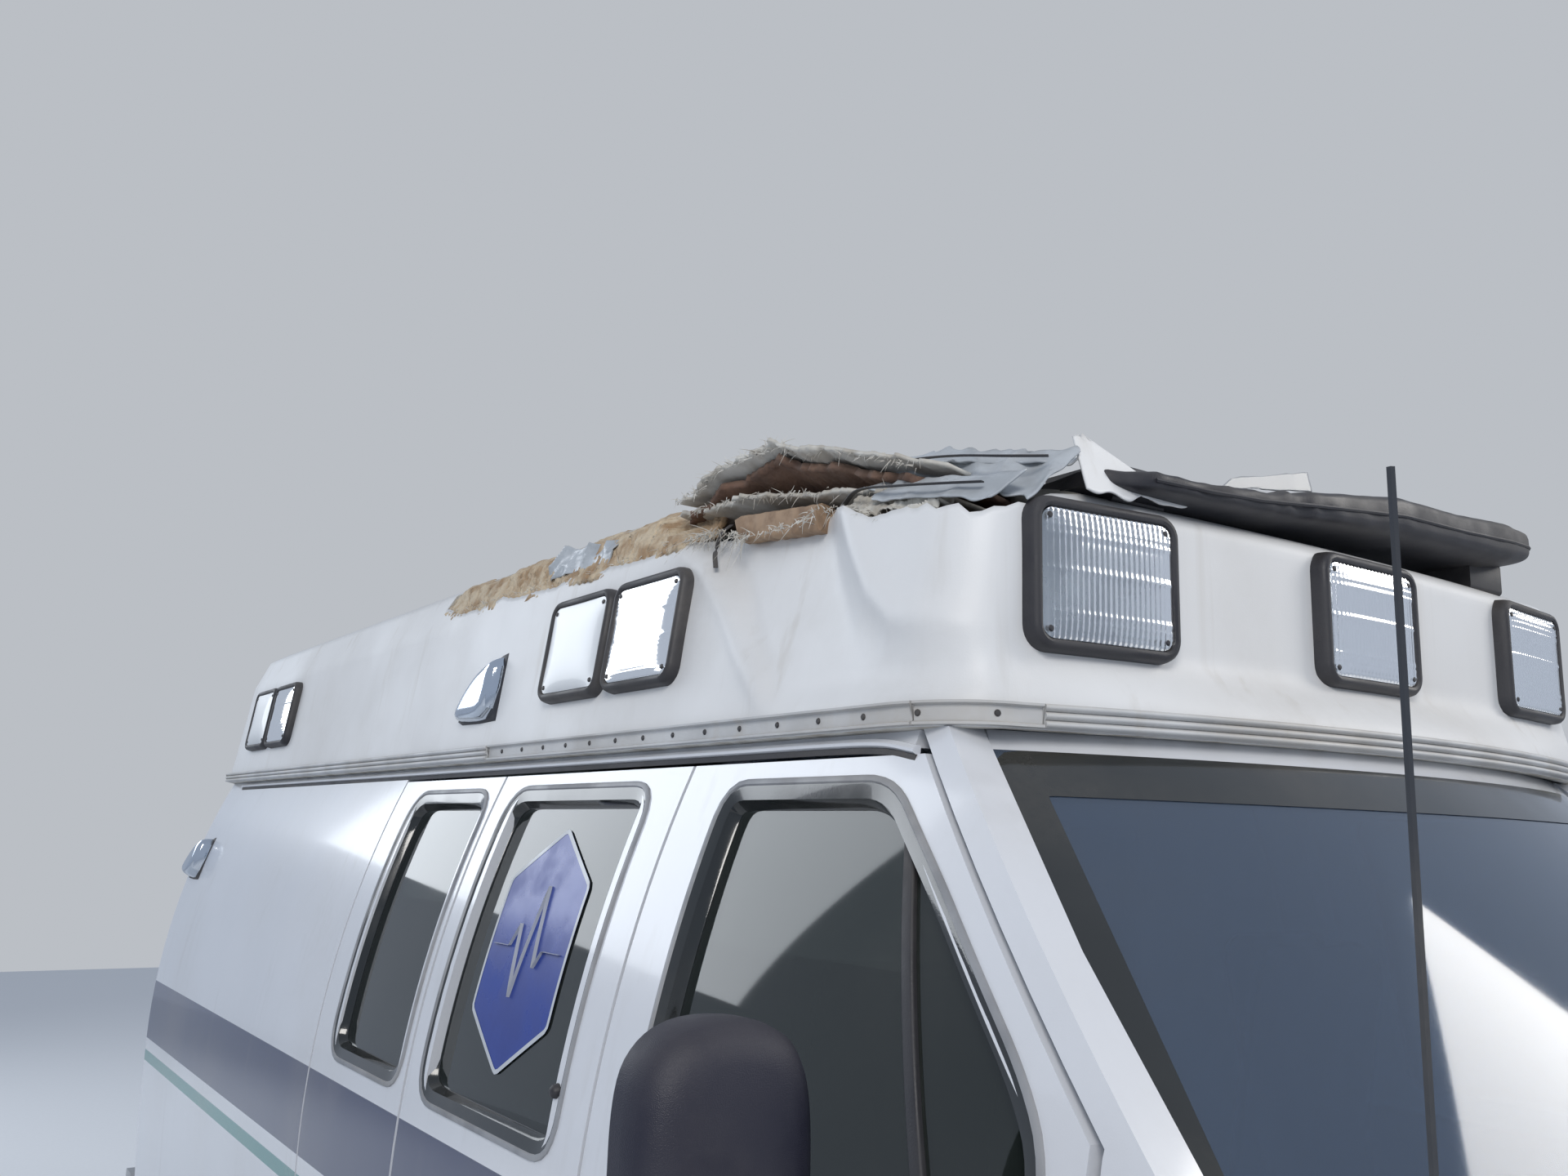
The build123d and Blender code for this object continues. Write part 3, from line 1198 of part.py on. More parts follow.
# Rear axle: tube, round differential case, stepped leaf packs on shackles, and the drive shaft
LEAF_Y = 500
rear_tube = joined(
    lying_prism(X_REAR_AXLE, 0, -HALF_TRACK_REAR + 40, TYRE_RADIUS, 42, 8),
    lying_bar(X_REAR_AXLE, -HALF_TRACK_REAR + 40, -HALF_TRACK_REAR - 58, TYRE_RADIUS, SPINDLE_RADIUS),
)
with BuildPart() as differential:
    add(lying_prism(X_REAR_AXLE, 95, -95, TYRE_RADIUS, 148, 12))
    chamfer(differential.edges().filter_by(Plane.XZ), 40)
LEAF_THICKNESS = 13
LEAF_HALF = 32
# One row for each leaf: half its length, and the height of its underside
LEAVES = [(620, 449), (430, 436), (240, 423)]
leaf_across = (-LEAF_Y - LEAF_HALF, -LEAF_Y + LEAF_HALF)
leaf_pack = joined(*[
    block(X_REAR_AXLE - reach, X_REAR_AXLE + reach, *leaf_across, z, z + LEAF_THICKNESS)
    for reach, z in LEAVES
])
shackles = [
    block(x - 20, x + 20, -LEAF_Y - LEAF_HALF - 2, -LEAF_Y + LEAF_HALF + 2, 440, 560)
    for x in (X_REAR_AXLE - LEAVES[0][0], X_REAR_AXLE + LEAVES[0][0])
]
drive_shaft = block(X_REAR_AXLE, 700, -35, 35, 400, 470)
right_rear = joined(rear_tube, leaf_pack, *shackles)
keep("rear_axle", joined(right_rear, mirrored(right_rear), differential.part, drive_shaft))

# Engine, tank and exhaust
keep("engine", block(1480, 2420, -230, 230, 640, 1050))
with BuildPart() as fuel_tank:
    add(block(-2420, -1950, -380, 380, 300, 498))
    chamfer(fuel_tank.edges().filter_by(Axis.Y), 36)
keep("fuel_tank", fuel_tank.part)
with BuildPart() as exhaust:
    add(block(-400, 500, 480, 640, 400, 560))
    chamfer(exhaust.edges().filter_by(Axis.X), 40)
    add(block(-900, -390, 540, 590, 460, 510))
keep("exhaust", exhaust.part)

# Cab: dash with its column and wheel, two reclined seats, and the wall behind them
STEERING_HUB = (1560, 520, 1170)
STEERING_AXIS = (-0.85, 0, 0.53)
with BuildPart() as steering_wheel:
    with BuildSketch(Plane(origin=STEERING_HUB, x_dir=(0, 1, 0), z_dir=STEERING_AXIS)):
        RegularPolygon(200, 20)
        RegularPolygon(172, 20, mode=Mode.SUBTRACT)
        Rectangle(360, 30)
        RegularPolygon(50, 8)
    extrude(amount=24)
    with BuildSketch(Plane(origin=STEERING_HUB, x_dir=(0, 1, 0), z_dir=[-part for part in STEERING_AXIS])):
        RegularPolygon(34, 8)
    extrude(amount=160)
DASH_HALF = 840
dash_profile = [(1690, 940), (X_BULKHEAD, 940), (X_BULKHEAD, 1235), (1730, 1235), (1650, 1190), (1650, 1060)]
dash_form = side_prism(dash_profile, 0, DASH_HALF, -DASH_HALF)
dash_body = cut(
    dash_form,
    block(1600, X_BULKHEAD + 1, -ENGINE_ROOM_Y - 24, ENGINE_ROOM_Y + 24, 900, 1104),
)
keep("dashboard", joined(dash_body, steering_wheel.part))

SEAT_Y = 530
SEAT_HALF = 200
SEAT_PROFILE = [
    (950, Z_FLOOR), (1350, Z_FLOOR), (1350, 880), (1415, 905), (1415, 1010), (1385, 1042), (990, 1022),
    (905, 1500), (895, 1700), (830, 1720), (795, 1690), (805, 1480), (880, 1000), (930, 880), (950, 880),
]
seats = [side_prism(SEAT_PROFILE, 0, y + SEAT_HALF, y - SEAT_HALF) for y in (-SEAT_Y, SEAT_Y)]
keep("front_seats", joined(*seats))
doorway = block(650, 700, -300, 300, Z_FLOOR + 40, 1850)
keep("partition", cut(body_block(660, 690, POST + 2, Z_FLOOR, Z_BODY_TOP - 5), doorway))

# Patient compartment: a bench over the right wheel and a cabinet wall on the left
BENCH_LOW = Z_FLOOR + 165
keep("bench", block(-2300, -700, -840, -420, BENCH_LOW, 1130))
Y_CABINET_FACE = 480
CABINET_COLUMNS = (-2240, -1520, -800, -80)
CABINET_ROWS = ((920, 1320), (1400, 1840))
cabinet_box = block(-2300, 600, Y_CABINET_FACE, 840, BENCH_LOW, 1900)
cabinet_bulk = common(cabinet_box, body_block(-2400, 700, POST + 5, 800, 1950))
recesses = [
    block(x, x + 620, Y_CABINET_FACE - 10, Y_CABINET_FACE + 12, *heights)
    for x in CABINET_COLUMNS
    for heights in CABINET_ROWS
]
keep("cabinet", cut(cabinet_bulk, *recesses))

os.makedirs("parts", exist_ok=True)
for name, piece in NODES.items():
    export_step(piece, f"parts/{name}.step")
print(len(NODES), "nodes")
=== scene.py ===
# %% [markdown]
# # Dressing a van ambulance whose raised roof has been torn open
#
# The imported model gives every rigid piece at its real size. This lesson gives them their finishes and
# builds the surfaces that a solid modeller leaves plain: a dented fibreglass roof with a torn edge,
# fluted lamps, a ribbed moulding, tyre tread. Each new surface is a formula on a grid of two
# parameters, worked out with numpy as whole arrays.

# %% Load the frame and note its box
import json
import math

import bmesh
import bpy
import numpy as np
from mathutils import Matrix, Vector


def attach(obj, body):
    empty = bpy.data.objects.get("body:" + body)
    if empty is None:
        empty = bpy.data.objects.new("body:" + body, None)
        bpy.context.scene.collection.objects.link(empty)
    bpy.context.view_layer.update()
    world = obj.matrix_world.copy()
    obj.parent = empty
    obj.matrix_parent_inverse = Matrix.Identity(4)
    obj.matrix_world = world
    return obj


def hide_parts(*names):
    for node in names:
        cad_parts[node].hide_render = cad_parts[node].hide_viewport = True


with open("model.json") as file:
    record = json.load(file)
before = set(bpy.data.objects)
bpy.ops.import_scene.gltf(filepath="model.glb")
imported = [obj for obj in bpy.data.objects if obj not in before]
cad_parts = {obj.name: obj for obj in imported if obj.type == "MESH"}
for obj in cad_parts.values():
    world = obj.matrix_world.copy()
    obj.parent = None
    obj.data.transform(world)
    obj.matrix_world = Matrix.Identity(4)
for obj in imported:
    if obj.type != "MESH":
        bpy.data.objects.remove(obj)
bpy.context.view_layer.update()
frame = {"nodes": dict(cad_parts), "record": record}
nodes = frame["nodes"]

# %% [markdown]
# ## The camera
#
# The photograph was taken from head height beside the right front wheel, looking slightly up. A camera's
# place and turn follow from its position, the direction it looks in, and a small roll.

# %% Camera at the photograph's viewing angle
CAMERA_AT = np.array([2.582, -1.920, 1.814])
CAMERA_YAW = math.radians(145.517)
CAMERA_PITCH = math.radians(10.824)
CAMERA_ROLL = math.radians(1.615)
LENS_MM = 30.10

look = np.array([
    math.cos(CAMERA_PITCH) * math.cos(CAMERA_YAW),
    math.cos(CAMERA_PITCH) * math.sin(CAMERA_YAW),
    math.sin(CAMERA_PITCH),
])
level_right = np.cross(look, (0, 0, 1))
level_right /= np.linalg.norm(level_right)
level_up = np.cross(level_right, look)
right = math.cos(CAMERA_ROLL) * level_right + math.sin(CAMERA_ROLL) * level_up
up = -math.sin(CAMERA_ROLL) * level_right + math.cos(CAMERA_ROLL) * level_up

camera_data = bpy.data.cameras.new("camera")
camera_data.lens = LENS_MM
camera_data.sensor_width = 36
camera_data.clip_end = 200
camera = bpy.data.objects.new("camera", camera_data)
bpy.context.scene.collection.objects.link(camera)
camera.matrix_world = Matrix(np.block([
    [np.column_stack([right, up, -look]), CAMERA_AT[:, None]],
    [np.zeros((1, 3)), np.ones((1, 1))],
]).tolist())
bpy.context.scene.camera = camera
print("camera at", CAMERA_AT, "looking along", look.round(3))

# %% [markdown]
# ## Surfaces from numpy
#
# Almost everything new here is one of three things: a grid of points given by a formula, a profile
# carried along a path, or a rounded plate made of rings of one outline. All three give an array of
# points and an array of four-cornered faces. Rows that shrink to one point, and seams that meet, are
# closed afterwards by merging what lies within a hundredth of a millimetre.

# %% Grids, sweeps and plates
MERGE_DISTANCE = 1e-5
AUTO_SHARP = math.radians(38)


def grid(points, close_rows=False, close_columns=False):
    """Faces of a grid. points[i, j] is a point; face (i, j) joins it to its neighbours at i+1 and j+1.
    close_rows joins the last row to the first, close_columns the last column to the first."""
    rows, columns = points.shape[:2]
    i = np.arange(rows if close_rows else rows - 1)
    j = np.arange(columns if close_columns else columns - 1)
    i, j = (part.ravel() for part in np.meshgrid(i, j, indexing="ij"))
    i_next, j_next = (i + 1) % rows, (j + 1) % columns
    faces = np.stack([i * columns + j, i * columns + j_next, i_next * columns + j_next,
                      i_next * columns + j], 1)
    return points.reshape(-1, 3), faces


def several(parts):
    """One list of points and faces from many: each part's faces count on from the points before it."""
    starts = np.cumsum([0] + [len(points) for points, _ in parts[:-1]])
    return (np.concatenate([points for points, _ in parts]),
            np.concatenate([faces + start for (_, faces), start in zip(parts, starts)]))


def copies(part, places):
    """The same part at many places. Each place is a 3 x 3 matrix M and an origin o, and a point p goes to
    M p + o."""
    points, faces = part
    turns = np.array([turn for turn, _ in places])
    origins = np.array([origin for _, origin in places])
    moved = np.einsum("kab,nb->kna", turns, points) + origins[:, None, :]
    steps = (np.arange(len(places)) * len(points))[:, None, None]
    return moved.reshape(-1, 3), (faces[None] + steps).reshape(-1, faces.shape[1])


def frames_along(path, up_hint):
    """Unit side and up vectors across a path: side = tangent x hint, up = side x tangent."""
    tangent = np.gradient(path, axis=0)
    tangent /= np.linalg.norm(tangent, axis=1, keepdims=True)
    side = np.cross(tangent, np.broadcast_to(up_hint, tangent.shape))
    side /= np.linalg.norm(side, axis=1, keepdims=True)
    return side, np.cross(side, tangent)


def sweep(path, profile, up_hint=(0, 0, 1), close_path=False, close_profile=True, scale=None):
    """A profile carried along a path: point = path + a * side + b * up, for each (a, b) of the profile."""
    path, profile = np.asarray(path, float), np.asarray(profile, float)
    side, upward = frames_along(path, np.asarray(up_hint, float))
    size = np.ones(len(path)) if scale is None else np.asarray(scale, float)
    offsets = profile[None] * size[:, None, None]
    points = path[:, None] + offsets[..., :1] * side[:, None] + offsets[..., 1:] * upward[:, None]
    return grid(points, close_path, close_profile)


def circle(radius, sides):
    """Points of a circle, (r cos t, r sin t), for t in equal steps."""
    t = np.arange(sides) * 2 * math.pi / sides
    return np.stack([radius * np.cos(t), radius * np.sin(t)], 1)


def bar(path, profile, up_hint=(0, 0, 1), taper=None):
    """A profile along a path, closed at both ends by a row that shrinks to the path. taper is a pair of
    lists, places from 0 to 1 and the size at each."""
    path = np.asarray(path, float)
    path = np.concatenate([path[:1], path, path[-1:]])
    path[0] += (path[1] - path[2]) * 1e-4
    path[-1] += (path[-2] - path[-3]) * 1e-4
    scale = np.ones(len(path)) if taper is None else np.interp(np.linspace(0, 1, len(path)), *taper)
    scale[[0, -1]] = 0
    return sweep(path, profile, up_hint, scale=scale)


def rod(path, radius, sides):
    """Round bar along a path, its rings set by an up vector that the path doesn't run along."""
    path = np.asarray(path, float)
    low_slope = abs(path[-1, 2] - path[0, 2]) < 0.8 * np.linalg.norm(path[-1] - path[0])
    return bar(path, circle(radius, sides), (0, 0, 1) if low_slope else (1, 0, 0))


def rounded_outline(width, height, radius, corner=6):
    """Rounded rectangle round the origin: four quarter circles whose centres are at
    (+-(width/2 - r), +-(height/2 - r)), with the same number of points whatever its size."""
    radius = max(min(radius, width / 2 - 1e-5, height / 2 - 1e-5), 1e-5)
    t = np.linspace(0, math.pi / 2, corner)
    arc = radius * np.stack([np.cos(t), np.sin(t)], 1)
    quarters = []
    for turn, (sx, sy) in enumerate([(1, 1), (-1, 1), (-1, -1), (1, -1)]):
        c, s = math.cos(turn * math.pi / 2), math.sin(turn * math.pi / 2)
        centre = (sx * (width / 2 - radius), sy * (height / 2 - radius))
        quarters.append(arc @ np.array([[c, s], [-s, c]]) + centre)
    return np.concatenate(quarters)


def plate(origin, across, upward, width, height, radius, rings, corner=6, open_middle=False):
    """A rounded plate as rings of one outline. Each ring is (inset, out): the outline drawn in by inset
    and moved out along the plate's normal, across x upward. Both ends shrink to the middle point."""
    origin, across, upward = (np.asarray(part, float) for part in (origin, across, upward))
    normal = np.cross(across, upward)
    rows = []
    for inset, out in rings:
        outline = rounded_outline(width - 2 * inset, height - 2 * inset, radius - inset, corner)
        rows.append(origin + outline[:, :1] * across + outline[:, 1:] * upward + out * normal)
    if not open_middle:
        rows.insert(0, np.broadcast_to(origin + rings[0][1] * normal, rows[0].shape))
        rows.append(np.broadcast_to(origin + rings[-1][1] * normal, rows[-1].shape))
    return grid(np.stack(rows), close_rows=open_middle, close_columns=True)


def turned(profile, sides):
    """A part turned about Y: each (radius, along) of the profile goes to
    (radius cos t, along, radius sin t)."""
    profile = np.asarray(profile, float)
    t = np.arange(sides) * 2 * math.pi / sides
    radial, along = profile[:, :1], np.broadcast_to(profile[:, 1:], (len(profile), sides))
    return grid(np.stack([radial * np.cos(t), along, radial * np.sin(t)], -1), close_columns=True)


def put(name, part, materials, body="body", replaces=(), sharp=AUTO_SHARP, outward=True):
    """Make the object: the points and faces go in as arrays, doubles are merged, and it rides on its body."""
    points, faces = part
    mesh = bpy.data.meshes.new(name)
    mesh.from_pydata(points.tolist(), [], faces.tolist())
    for material in materials:
        mesh.materials.append(material)
    work = bmesh.new()
    work.from_mesh(mesh)
    bmesh.ops.remove_doubles(work, verts=work.verts, dist=MERGE_DISTANCE)
    bmesh.ops.dissolve_degenerate(work, edges=work.edges, dist=MERGE_DISTANCE)
    if outward:
        bmesh.ops.recalc_face_normals(work, faces=work.faces)
    work.to_mesh(mesh)
    work.free()
    mesh.shade_smooth()
    mesh.set_sharp_from_angle(angle=sharp)
    piece = bpy.data.objects.new(name, mesh)
    bpy.context.scene.collection.objects.link(piece)
    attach(piece, body)
    if replaces:
        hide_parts(*replaces)
    print(f"{name}: {len(mesh.polygons)} faces")
    return piece


# %% [markdown]
# ## Effects that many finishes share
#
# Dust, streaks and scuffs lie on every surface of a vehicle that has stood outside. Each effect is a
# node group that puts out a mask or a height, built once and placed in a material with its own values.


# %% Node groups
def new_group(name, inputs, outputs):
    """An empty shader group with named float inputs (name, default) and named outputs (name, kind)."""
    group = bpy.data.node_groups.new(name, "ShaderNodeTree")
    for label, default in inputs:
        socket = group.interface.new_socket(label, in_out="INPUT", socket_type="NodeSocketFloat")
        socket.default_value = default
    for label, kind in outputs:
        group.interface.new_socket(label, in_out="OUTPUT", socket_type=kind)
    entry, leave = group.nodes.new("NodeGroupInput"), group.nodes.new("NodeGroupOutput")
    return group, entry, leave


def add_node(tree, kind, values=None, links=None):
    """A node with some of its properties or sockets set: values by name, links from other sockets."""
    node = tree.nodes.new(kind)
    for key, value in (values or {}).items():
        if isinstance(key, str) and hasattr(node, key):
            setattr(node, key, value)
        else:
            node.inputs[key].default_value = value
    for key, source in (links or {}).items():
        tree.links.new(source, node.inputs[key])
    return node


def noise(tree, vector, scale, detail=4, roughness=0.55):
    """Fractal noise of one scale on a vector."""
    return add_node(tree, "ShaderNodeTexNoise", {"Scale": scale, "Detail": detail, "Roughness": roughness},
                    {"Vector": vector}).outputs["Fac"]


def ramp(tree, value, low, high):
    """Smooth step of a value between two limits."""
    return add_node(tree, "ShaderNodeMapRange", {"interpolation_type": "SMOOTHSTEP", 1: low, 2: high},
                    {0: value}).outputs[0]


def maths(tree, operation, first, second):
    """One sum on two sockets or numbers."""
    node = add_node(tree, "ShaderNodeMath", {"operation": operation})
    for index, value in enumerate((first, second)):
        if isinstance(value, (int, float)):
            node.inputs[index].default_value = value
        else:
            tree.links.new(value, node.inputs[index])
    return node.outputs[0]


def object_point(tree, scale=(1, 1, 1)):
    """The place on the object, in metres, stretched along its axes."""
    place = add_node(tree, "ShaderNodeTexCoord")
    return add_node(tree, "ShaderNodeMapping", {"Scale": scale},
                    {"Vector": place.outputs["Object"]}).outputs[0]


def build_dust():
    """Dust: broad noise times fine noise, thicker on faces that look up."""
    group, entry, leave = new_group("dust", [("Amount", 0.4), ("Scale", 3.0)], [("Mask", "NodeSocketFloat")])
    point = object_point(group)
    broad = add_node(group, "ShaderNodeTexNoise", {"Detail": 5.0},
                     {"Vector": point, "Scale": entry.outputs["Scale"]})
    fine = noise(group, point, 60, 3)
    facing = add_node(group, "ShaderNodeSeparateXYZ", None,
                      {0: add_node(group, "ShaderNodeNewGeometry").outputs["Normal"]})
    lying = ramp(group, facing.outputs["Z"], 0.1, 1.0)
    patches = maths(group, "MULTIPLY", ramp(group, broad.outputs["Fac"], 0.40, 0.72),
                    maths(group, "ADD", fine, 0.3))
    total = maths(group, "ADD", patches, maths(group, "MULTIPLY", lying, 0.5))
    mask = maths(group, "MULTIPLY", total, entry.outputs["Amount"])
    group.links.new(add_node(group, "ShaderNodeClamp", None, {0: mask}).outputs[0], leave.inputs["Mask"])
    return group


def build_streaks():
    """Rain streaks: noise stretched along Z, so that it is fine across the wall and long down it."""
    group, entry, leave = new_group("streaks", [("Amount", 0.3)], [("Mask", "NodeSocketFloat")])
    thin = noise(group, object_point(group, (26, 26, 0.9)), 1.0, 3)
    broad = noise(group, object_point(group, (5, 5, 0.5)), 1.0, 2)
    mask = maths(group, "MULTIPLY", ramp(group, thin, 0.52, 0.74), ramp(group, broad, 0.42, 0.66))
    group.links.new(maths(group, "MULTIPLY", mask, entry.outputs["Amount"]), leave.inputs["Mask"])
    return group


def build_ripple():
    """Height of a moulded or painted surface: long waves and a fine orange-peel grain."""
    group, entry, leave = new_group("ripple", [("Waves", 0.5), ("Grain", 0.1), ("Grain Scale", 400.0)],
                                    [("Height", "NodeSocketFloat")])
    point = object_point(group)
    waves = maths(group, "MULTIPLY", noise(group, point, 2.2, 2), entry.outputs["Waves"])
    grain = add_node(group, "ShaderNodeTexNoise", {"Detail": 1.0},
                     {"Vector": point, "Scale": entry.outputs["Grain Scale"]})
    fine = maths(group, "MULTIPLY", grain.outputs["Fac"], entry.outputs["Grain"])
    group.links.new(maths(group, "ADD", waves, fine), leave.inputs["Height"])
    return group


def build_band():
    """1 between two heights of the object's Z, with a soft edge of a millimetre, and 0 outside them."""
    group, entry, leave = new_group("band", [("Low", 1.0), ("High", 1.1)], [("Mask", "NodeSocketFloat")])
    place = add_node(group, "ShaderNodeTexCoord")
    height = add_node(group, "ShaderNodeSeparateXYZ", None, {0: place.outputs["Object"]}).outputs["Z"]
    above = maths(group, "MULTIPLY", maths(group, "SUBTRACT", height, entry.outputs["Low"]), 1000.0)
    below = maths(group, "MULTIPLY", maths(group, "SUBTRACT", entry.outputs["High"], height), 1000.0)
    rising, falling = (add_node(group, "ShaderNodeClamp", None, {0: side}).outputs[0]
                       for side in (above, below))
    group.links.new(maths(group, "MULTIPLY", rising, falling), leave.inputs["Mask"])
    return group


DUST, STREAKS, RIPPLE, BAND = build_dust(), build_streaks(), build_ripple(), build_band()
print("groups:", DUST.name, STREAKS.name, RIPPLE.name, BAND.name)


# %% Helpers that put a material together
def place_group(tree, group, **values):
    """A copy of a group in a material, with its inputs set by name. An underscore stands for a space."""
    node = tree.nodes.new("ShaderNodeGroup")
    node.node_tree = group
    for key, value in values.items():
        node.inputs[key.replace("_", " ")].default_value = value
    return node


def mix_colour(tree, mask, first, second):
    """first where the mask is 0 and second where it is 1. Each is a colour or a socket."""
    node = add_node(tree, "ShaderNodeMix", {"data_type": "RGBA"}, {0: mask})
    for index, colour in ((6, first), (7, second)):
        if isinstance(colour, tuple):
            node.inputs[index].default_value = (*colour, 1)
        else:
            tree.links.new(colour, node.inputs[index])
    return node.outputs[2]


def new_material(name, **sockets):
    """A material with one Principled BSDF, its plain numbers set on its own sockets."""
    material = bpy.data.materials.new(name)
    material.use_nodes = True
    shader = material.node_tree.nodes["Principled BSDF"]
    for key, value in sockets.items():
        shader.inputs[key.replace("_", " ")].default_value = value
    return material, material.node_tree, shader


def weathered(name, colour, second=None, rough=(0.3, 0.5), dust=0.35, streaks=0.0,
              dust_colour=(0.42, 0.37, 0.30), waves=0.3, grain=0.1, grain_scale=400.0, bump=0.0006,
              scale=8.0, **sockets):
    """A finish in four layers: a colour that wanders to a second one, streaks, dust, and a fine relief."""
    material, tree, shader = new_material(name, **sockets)
    point = object_point(tree)
    wander = ramp(tree, noise(tree, point, scale), 0.35, 0.68)
    base = mix_colour(tree, wander, colour, second or tuple(0.86 * part for part in colour))
    if streaks:
        base = mix_colour(tree, place_group(tree, STREAKS, Amount=streaks).outputs[0], base, dust_colour)
    dusty = place_group(tree, DUST, Amount=dust).outputs[0]
    tree.links.new(mix_colour(tree, dusty, base, dust_colour), shader.inputs["Base Color"])
    spread = add_node(tree, "ShaderNodeMapRange", {3: rough[0], 4: rough[1]},
                      {0: maths(tree, "ADD", wander, dusty)})
    tree.links.new(spread.outputs[0], shader.inputs["Roughness"])
    relief = place_group(tree, RIPPLE, Waves=waves, Grain=grain, Grain_Scale=grain_scale).outputs[0]
    bumps = add_node(tree, "ShaderNodeBump", {"Strength": 1.0, "Distance": bump}, {"Height": relief})
    tree.links.new(bumps.outputs[0], shader.inputs["Normal"])
    return material


# %% [markdown]
# ## The finishes
#
# The van's steel is a cool white under clear lacquer, with a navy band, a thin white line and a thin
# teal line round its sides. The raised roof is white gel coat, a little warmer and duller. What the
# tear lays bare is cream foam, brown board and white glass fibre.

# %% Paint with its stripes
NAVY = (0.012, 0.022, 0.085)
TEAL = (0.010, 0.210, 0.200)
VAN_WHITE = (0.70, 0.72, 0.76)
STRIPE_BANDS = ((1.080, 1.270, NAVY), (1.007, 1.043, TEAL))


def striped_paint(name, bands):
    """Lacquered white with bands of colour on its upright sides between pairs of heights, then streaks,
    dust and orange peel."""
    material, tree, shader = new_material(name, Coat_Weight=0.6, Coat_Roughness=0.08, IOR=1.5)
    colour = mix_colour(tree, ramp(tree, noise(tree, object_point(tree), 1.4), 0.3, 0.7), VAN_WHITE,
                        (0.66, 0.68, 0.72))
    normal = add_node(tree, "ShaderNodeTexCoord").outputs["Normal"]
    normal_y = add_node(tree, "ShaderNodeSeparateXYZ", None, {0: normal}).outputs["Y"]
    sideways = maths(tree, "ABSOLUTE", normal_y, 0.0)
    upright = ramp(tree, sideways, 0.35, 0.45)
    for low, high, tint in bands:
        stripe = maths(tree, "MULTIPLY", place_group(tree, BAND, Low=low, High=high).outputs[0], upright)
        colour = mix_colour(tree, stripe, colour, tint)
    colour = mix_colour(tree, place_group(tree, STREAKS, Amount=0.14).outputs[0], colour, (0.36, 0.33, 0.28))
    dusty = place_group(tree, DUST, Amount=0.16, Scale=2.0).outputs[0]
    tree.links.new(mix_colour(tree, dusty, colour, (0.44, 0.40, 0.34)), shader.inputs["Base Color"])
    spread = add_node(tree, "ShaderNodeMapRange", {3: 0.22, 4: 0.5}, {0: dusty})
    tree.links.new(spread.outputs[0], shader.inputs["Roughness"])
    relief = place_group(tree, RIPPLE, Waves=1.0, Grain=0.05, Grain_Scale=500.0).outputs[0]
    bumps = add_node(tree, "ShaderNodeBump", {"Strength": 1.0, "Distance": 0.0012}, {"Height": relief})
    tree.links.new(bumps.outputs[0], shader.inputs["Normal"])
    return material


PAINT = striped_paint("lacquered_white", STRIPE_BANDS)
PLAIN_PAINT = striped_paint("lacquered_plain", ())
GEL_COAT = weathered("gel_coat", (0.72, 0.73, 0.74), (0.66, 0.66, 0.66), (0.42, 0.62), dust=0.18,
                     streaks=0.28, dust_colour=(0.40, 0.36, 0.30), waves=1.0, grain=0.06, bump=0.0015,
                     scale=1.2)
MOULDING = weathered("moulding_white", (0.55, 0.56, 0.57), None, (0.4, 0.6), dust=0.4, streaks=0.3)
BLACK_TRIM = weathered("black_trim", (0.018, 0.018, 0.024), (0.04, 0.04, 0.045), (0.45, 0.7), dust=0.12,
                       grain=0.5)
MIRROR_SHELL = weathered("mirror_shell", (0.012, 0.012, 0.026), (0.022, 0.022, 0.036), (0.4, 0.6),
                         dust=0.08, grain=0.8, grain_scale=900.0)
CHROME = weathered("bright_plate", (0.62, 0.68, 0.76), None, (0.05, 0.22), dust=0.1, Metallic=1.0)
TREAD_METAL = weathered("tread_plate", (0.45, 0.46, 0.47), None, (0.3, 0.6), dust=0.3, Metallic=1.0)
MAST = weathered("mast_steel", (0.06, 0.065, 0.075), None, (0.3, 0.5), dust=0.15, Metallic=0.5)
CHASSIS = weathered("chassis_black", (0.03, 0.03, 0.03), (0.09, 0.06, 0.045), (0.6, 0.9), dust=0.6, grain=0.6)
IRON = weathered("cast_iron", (0.13, 0.12, 0.11), (0.17, 0.09, 0.05), (0.6, 0.9), dust=0.4, grain=1.0,
                 Metallic=0.6)
EXHAUST = weathered("exhaust_steel", (0.22, 0.19, 0.16), (0.28, 0.14, 0.07), (0.45, 0.8), Metallic=0.8)
FLOORING = weathered("sealed_floor", (0.20, 0.21, 0.22), None, (0.5, 0.7), dust=0.25, grain=0.8)
CAB_PLASTIC = weathered("grained_plastic", (0.055, 0.057, 0.065), None, (0.5, 0.7), dust=0.2, grain=1.0)
VINYL = weathered("seat_vinyl", (0.075, 0.085, 0.115), (0.06, 0.07, 0.09), (0.4, 0.6), dust=0.1, grain=1.0,
                  bump=0.001)
LINING = weathered("white_laminate", (0.62, 0.63, 0.62), None, (0.3, 0.5), dust=0.1)
RUBBER = weathered("tyre_rubber", (0.016, 0.016, 0.017), (0.035, 0.033, 0.03), (0.7, 0.9), dust=0.45,
                   grain=0.8)
WHEEL_PAINT = weathered("wheel_paint", (0.42, 0.43, 0.44), (0.36, 0.36, 0.36), (0.3, 0.5), dust=0.4,
                        Metallic=0.3)
TAIL_LENS = weathered("tail_lens", (0.35, 0.015, 0.012), None, (0.1, 0.3), dust=0.15, Coat_Weight=0.5)
FOAM = weathered("cream_core", (0.60, 0.50, 0.36), (0.36, 0.24, 0.14), (0.8, 0.95), dust=0.2, waves=0.5,
                 grain=1.0, grain_scale=120.0, bump=0.004, scale=22.0)
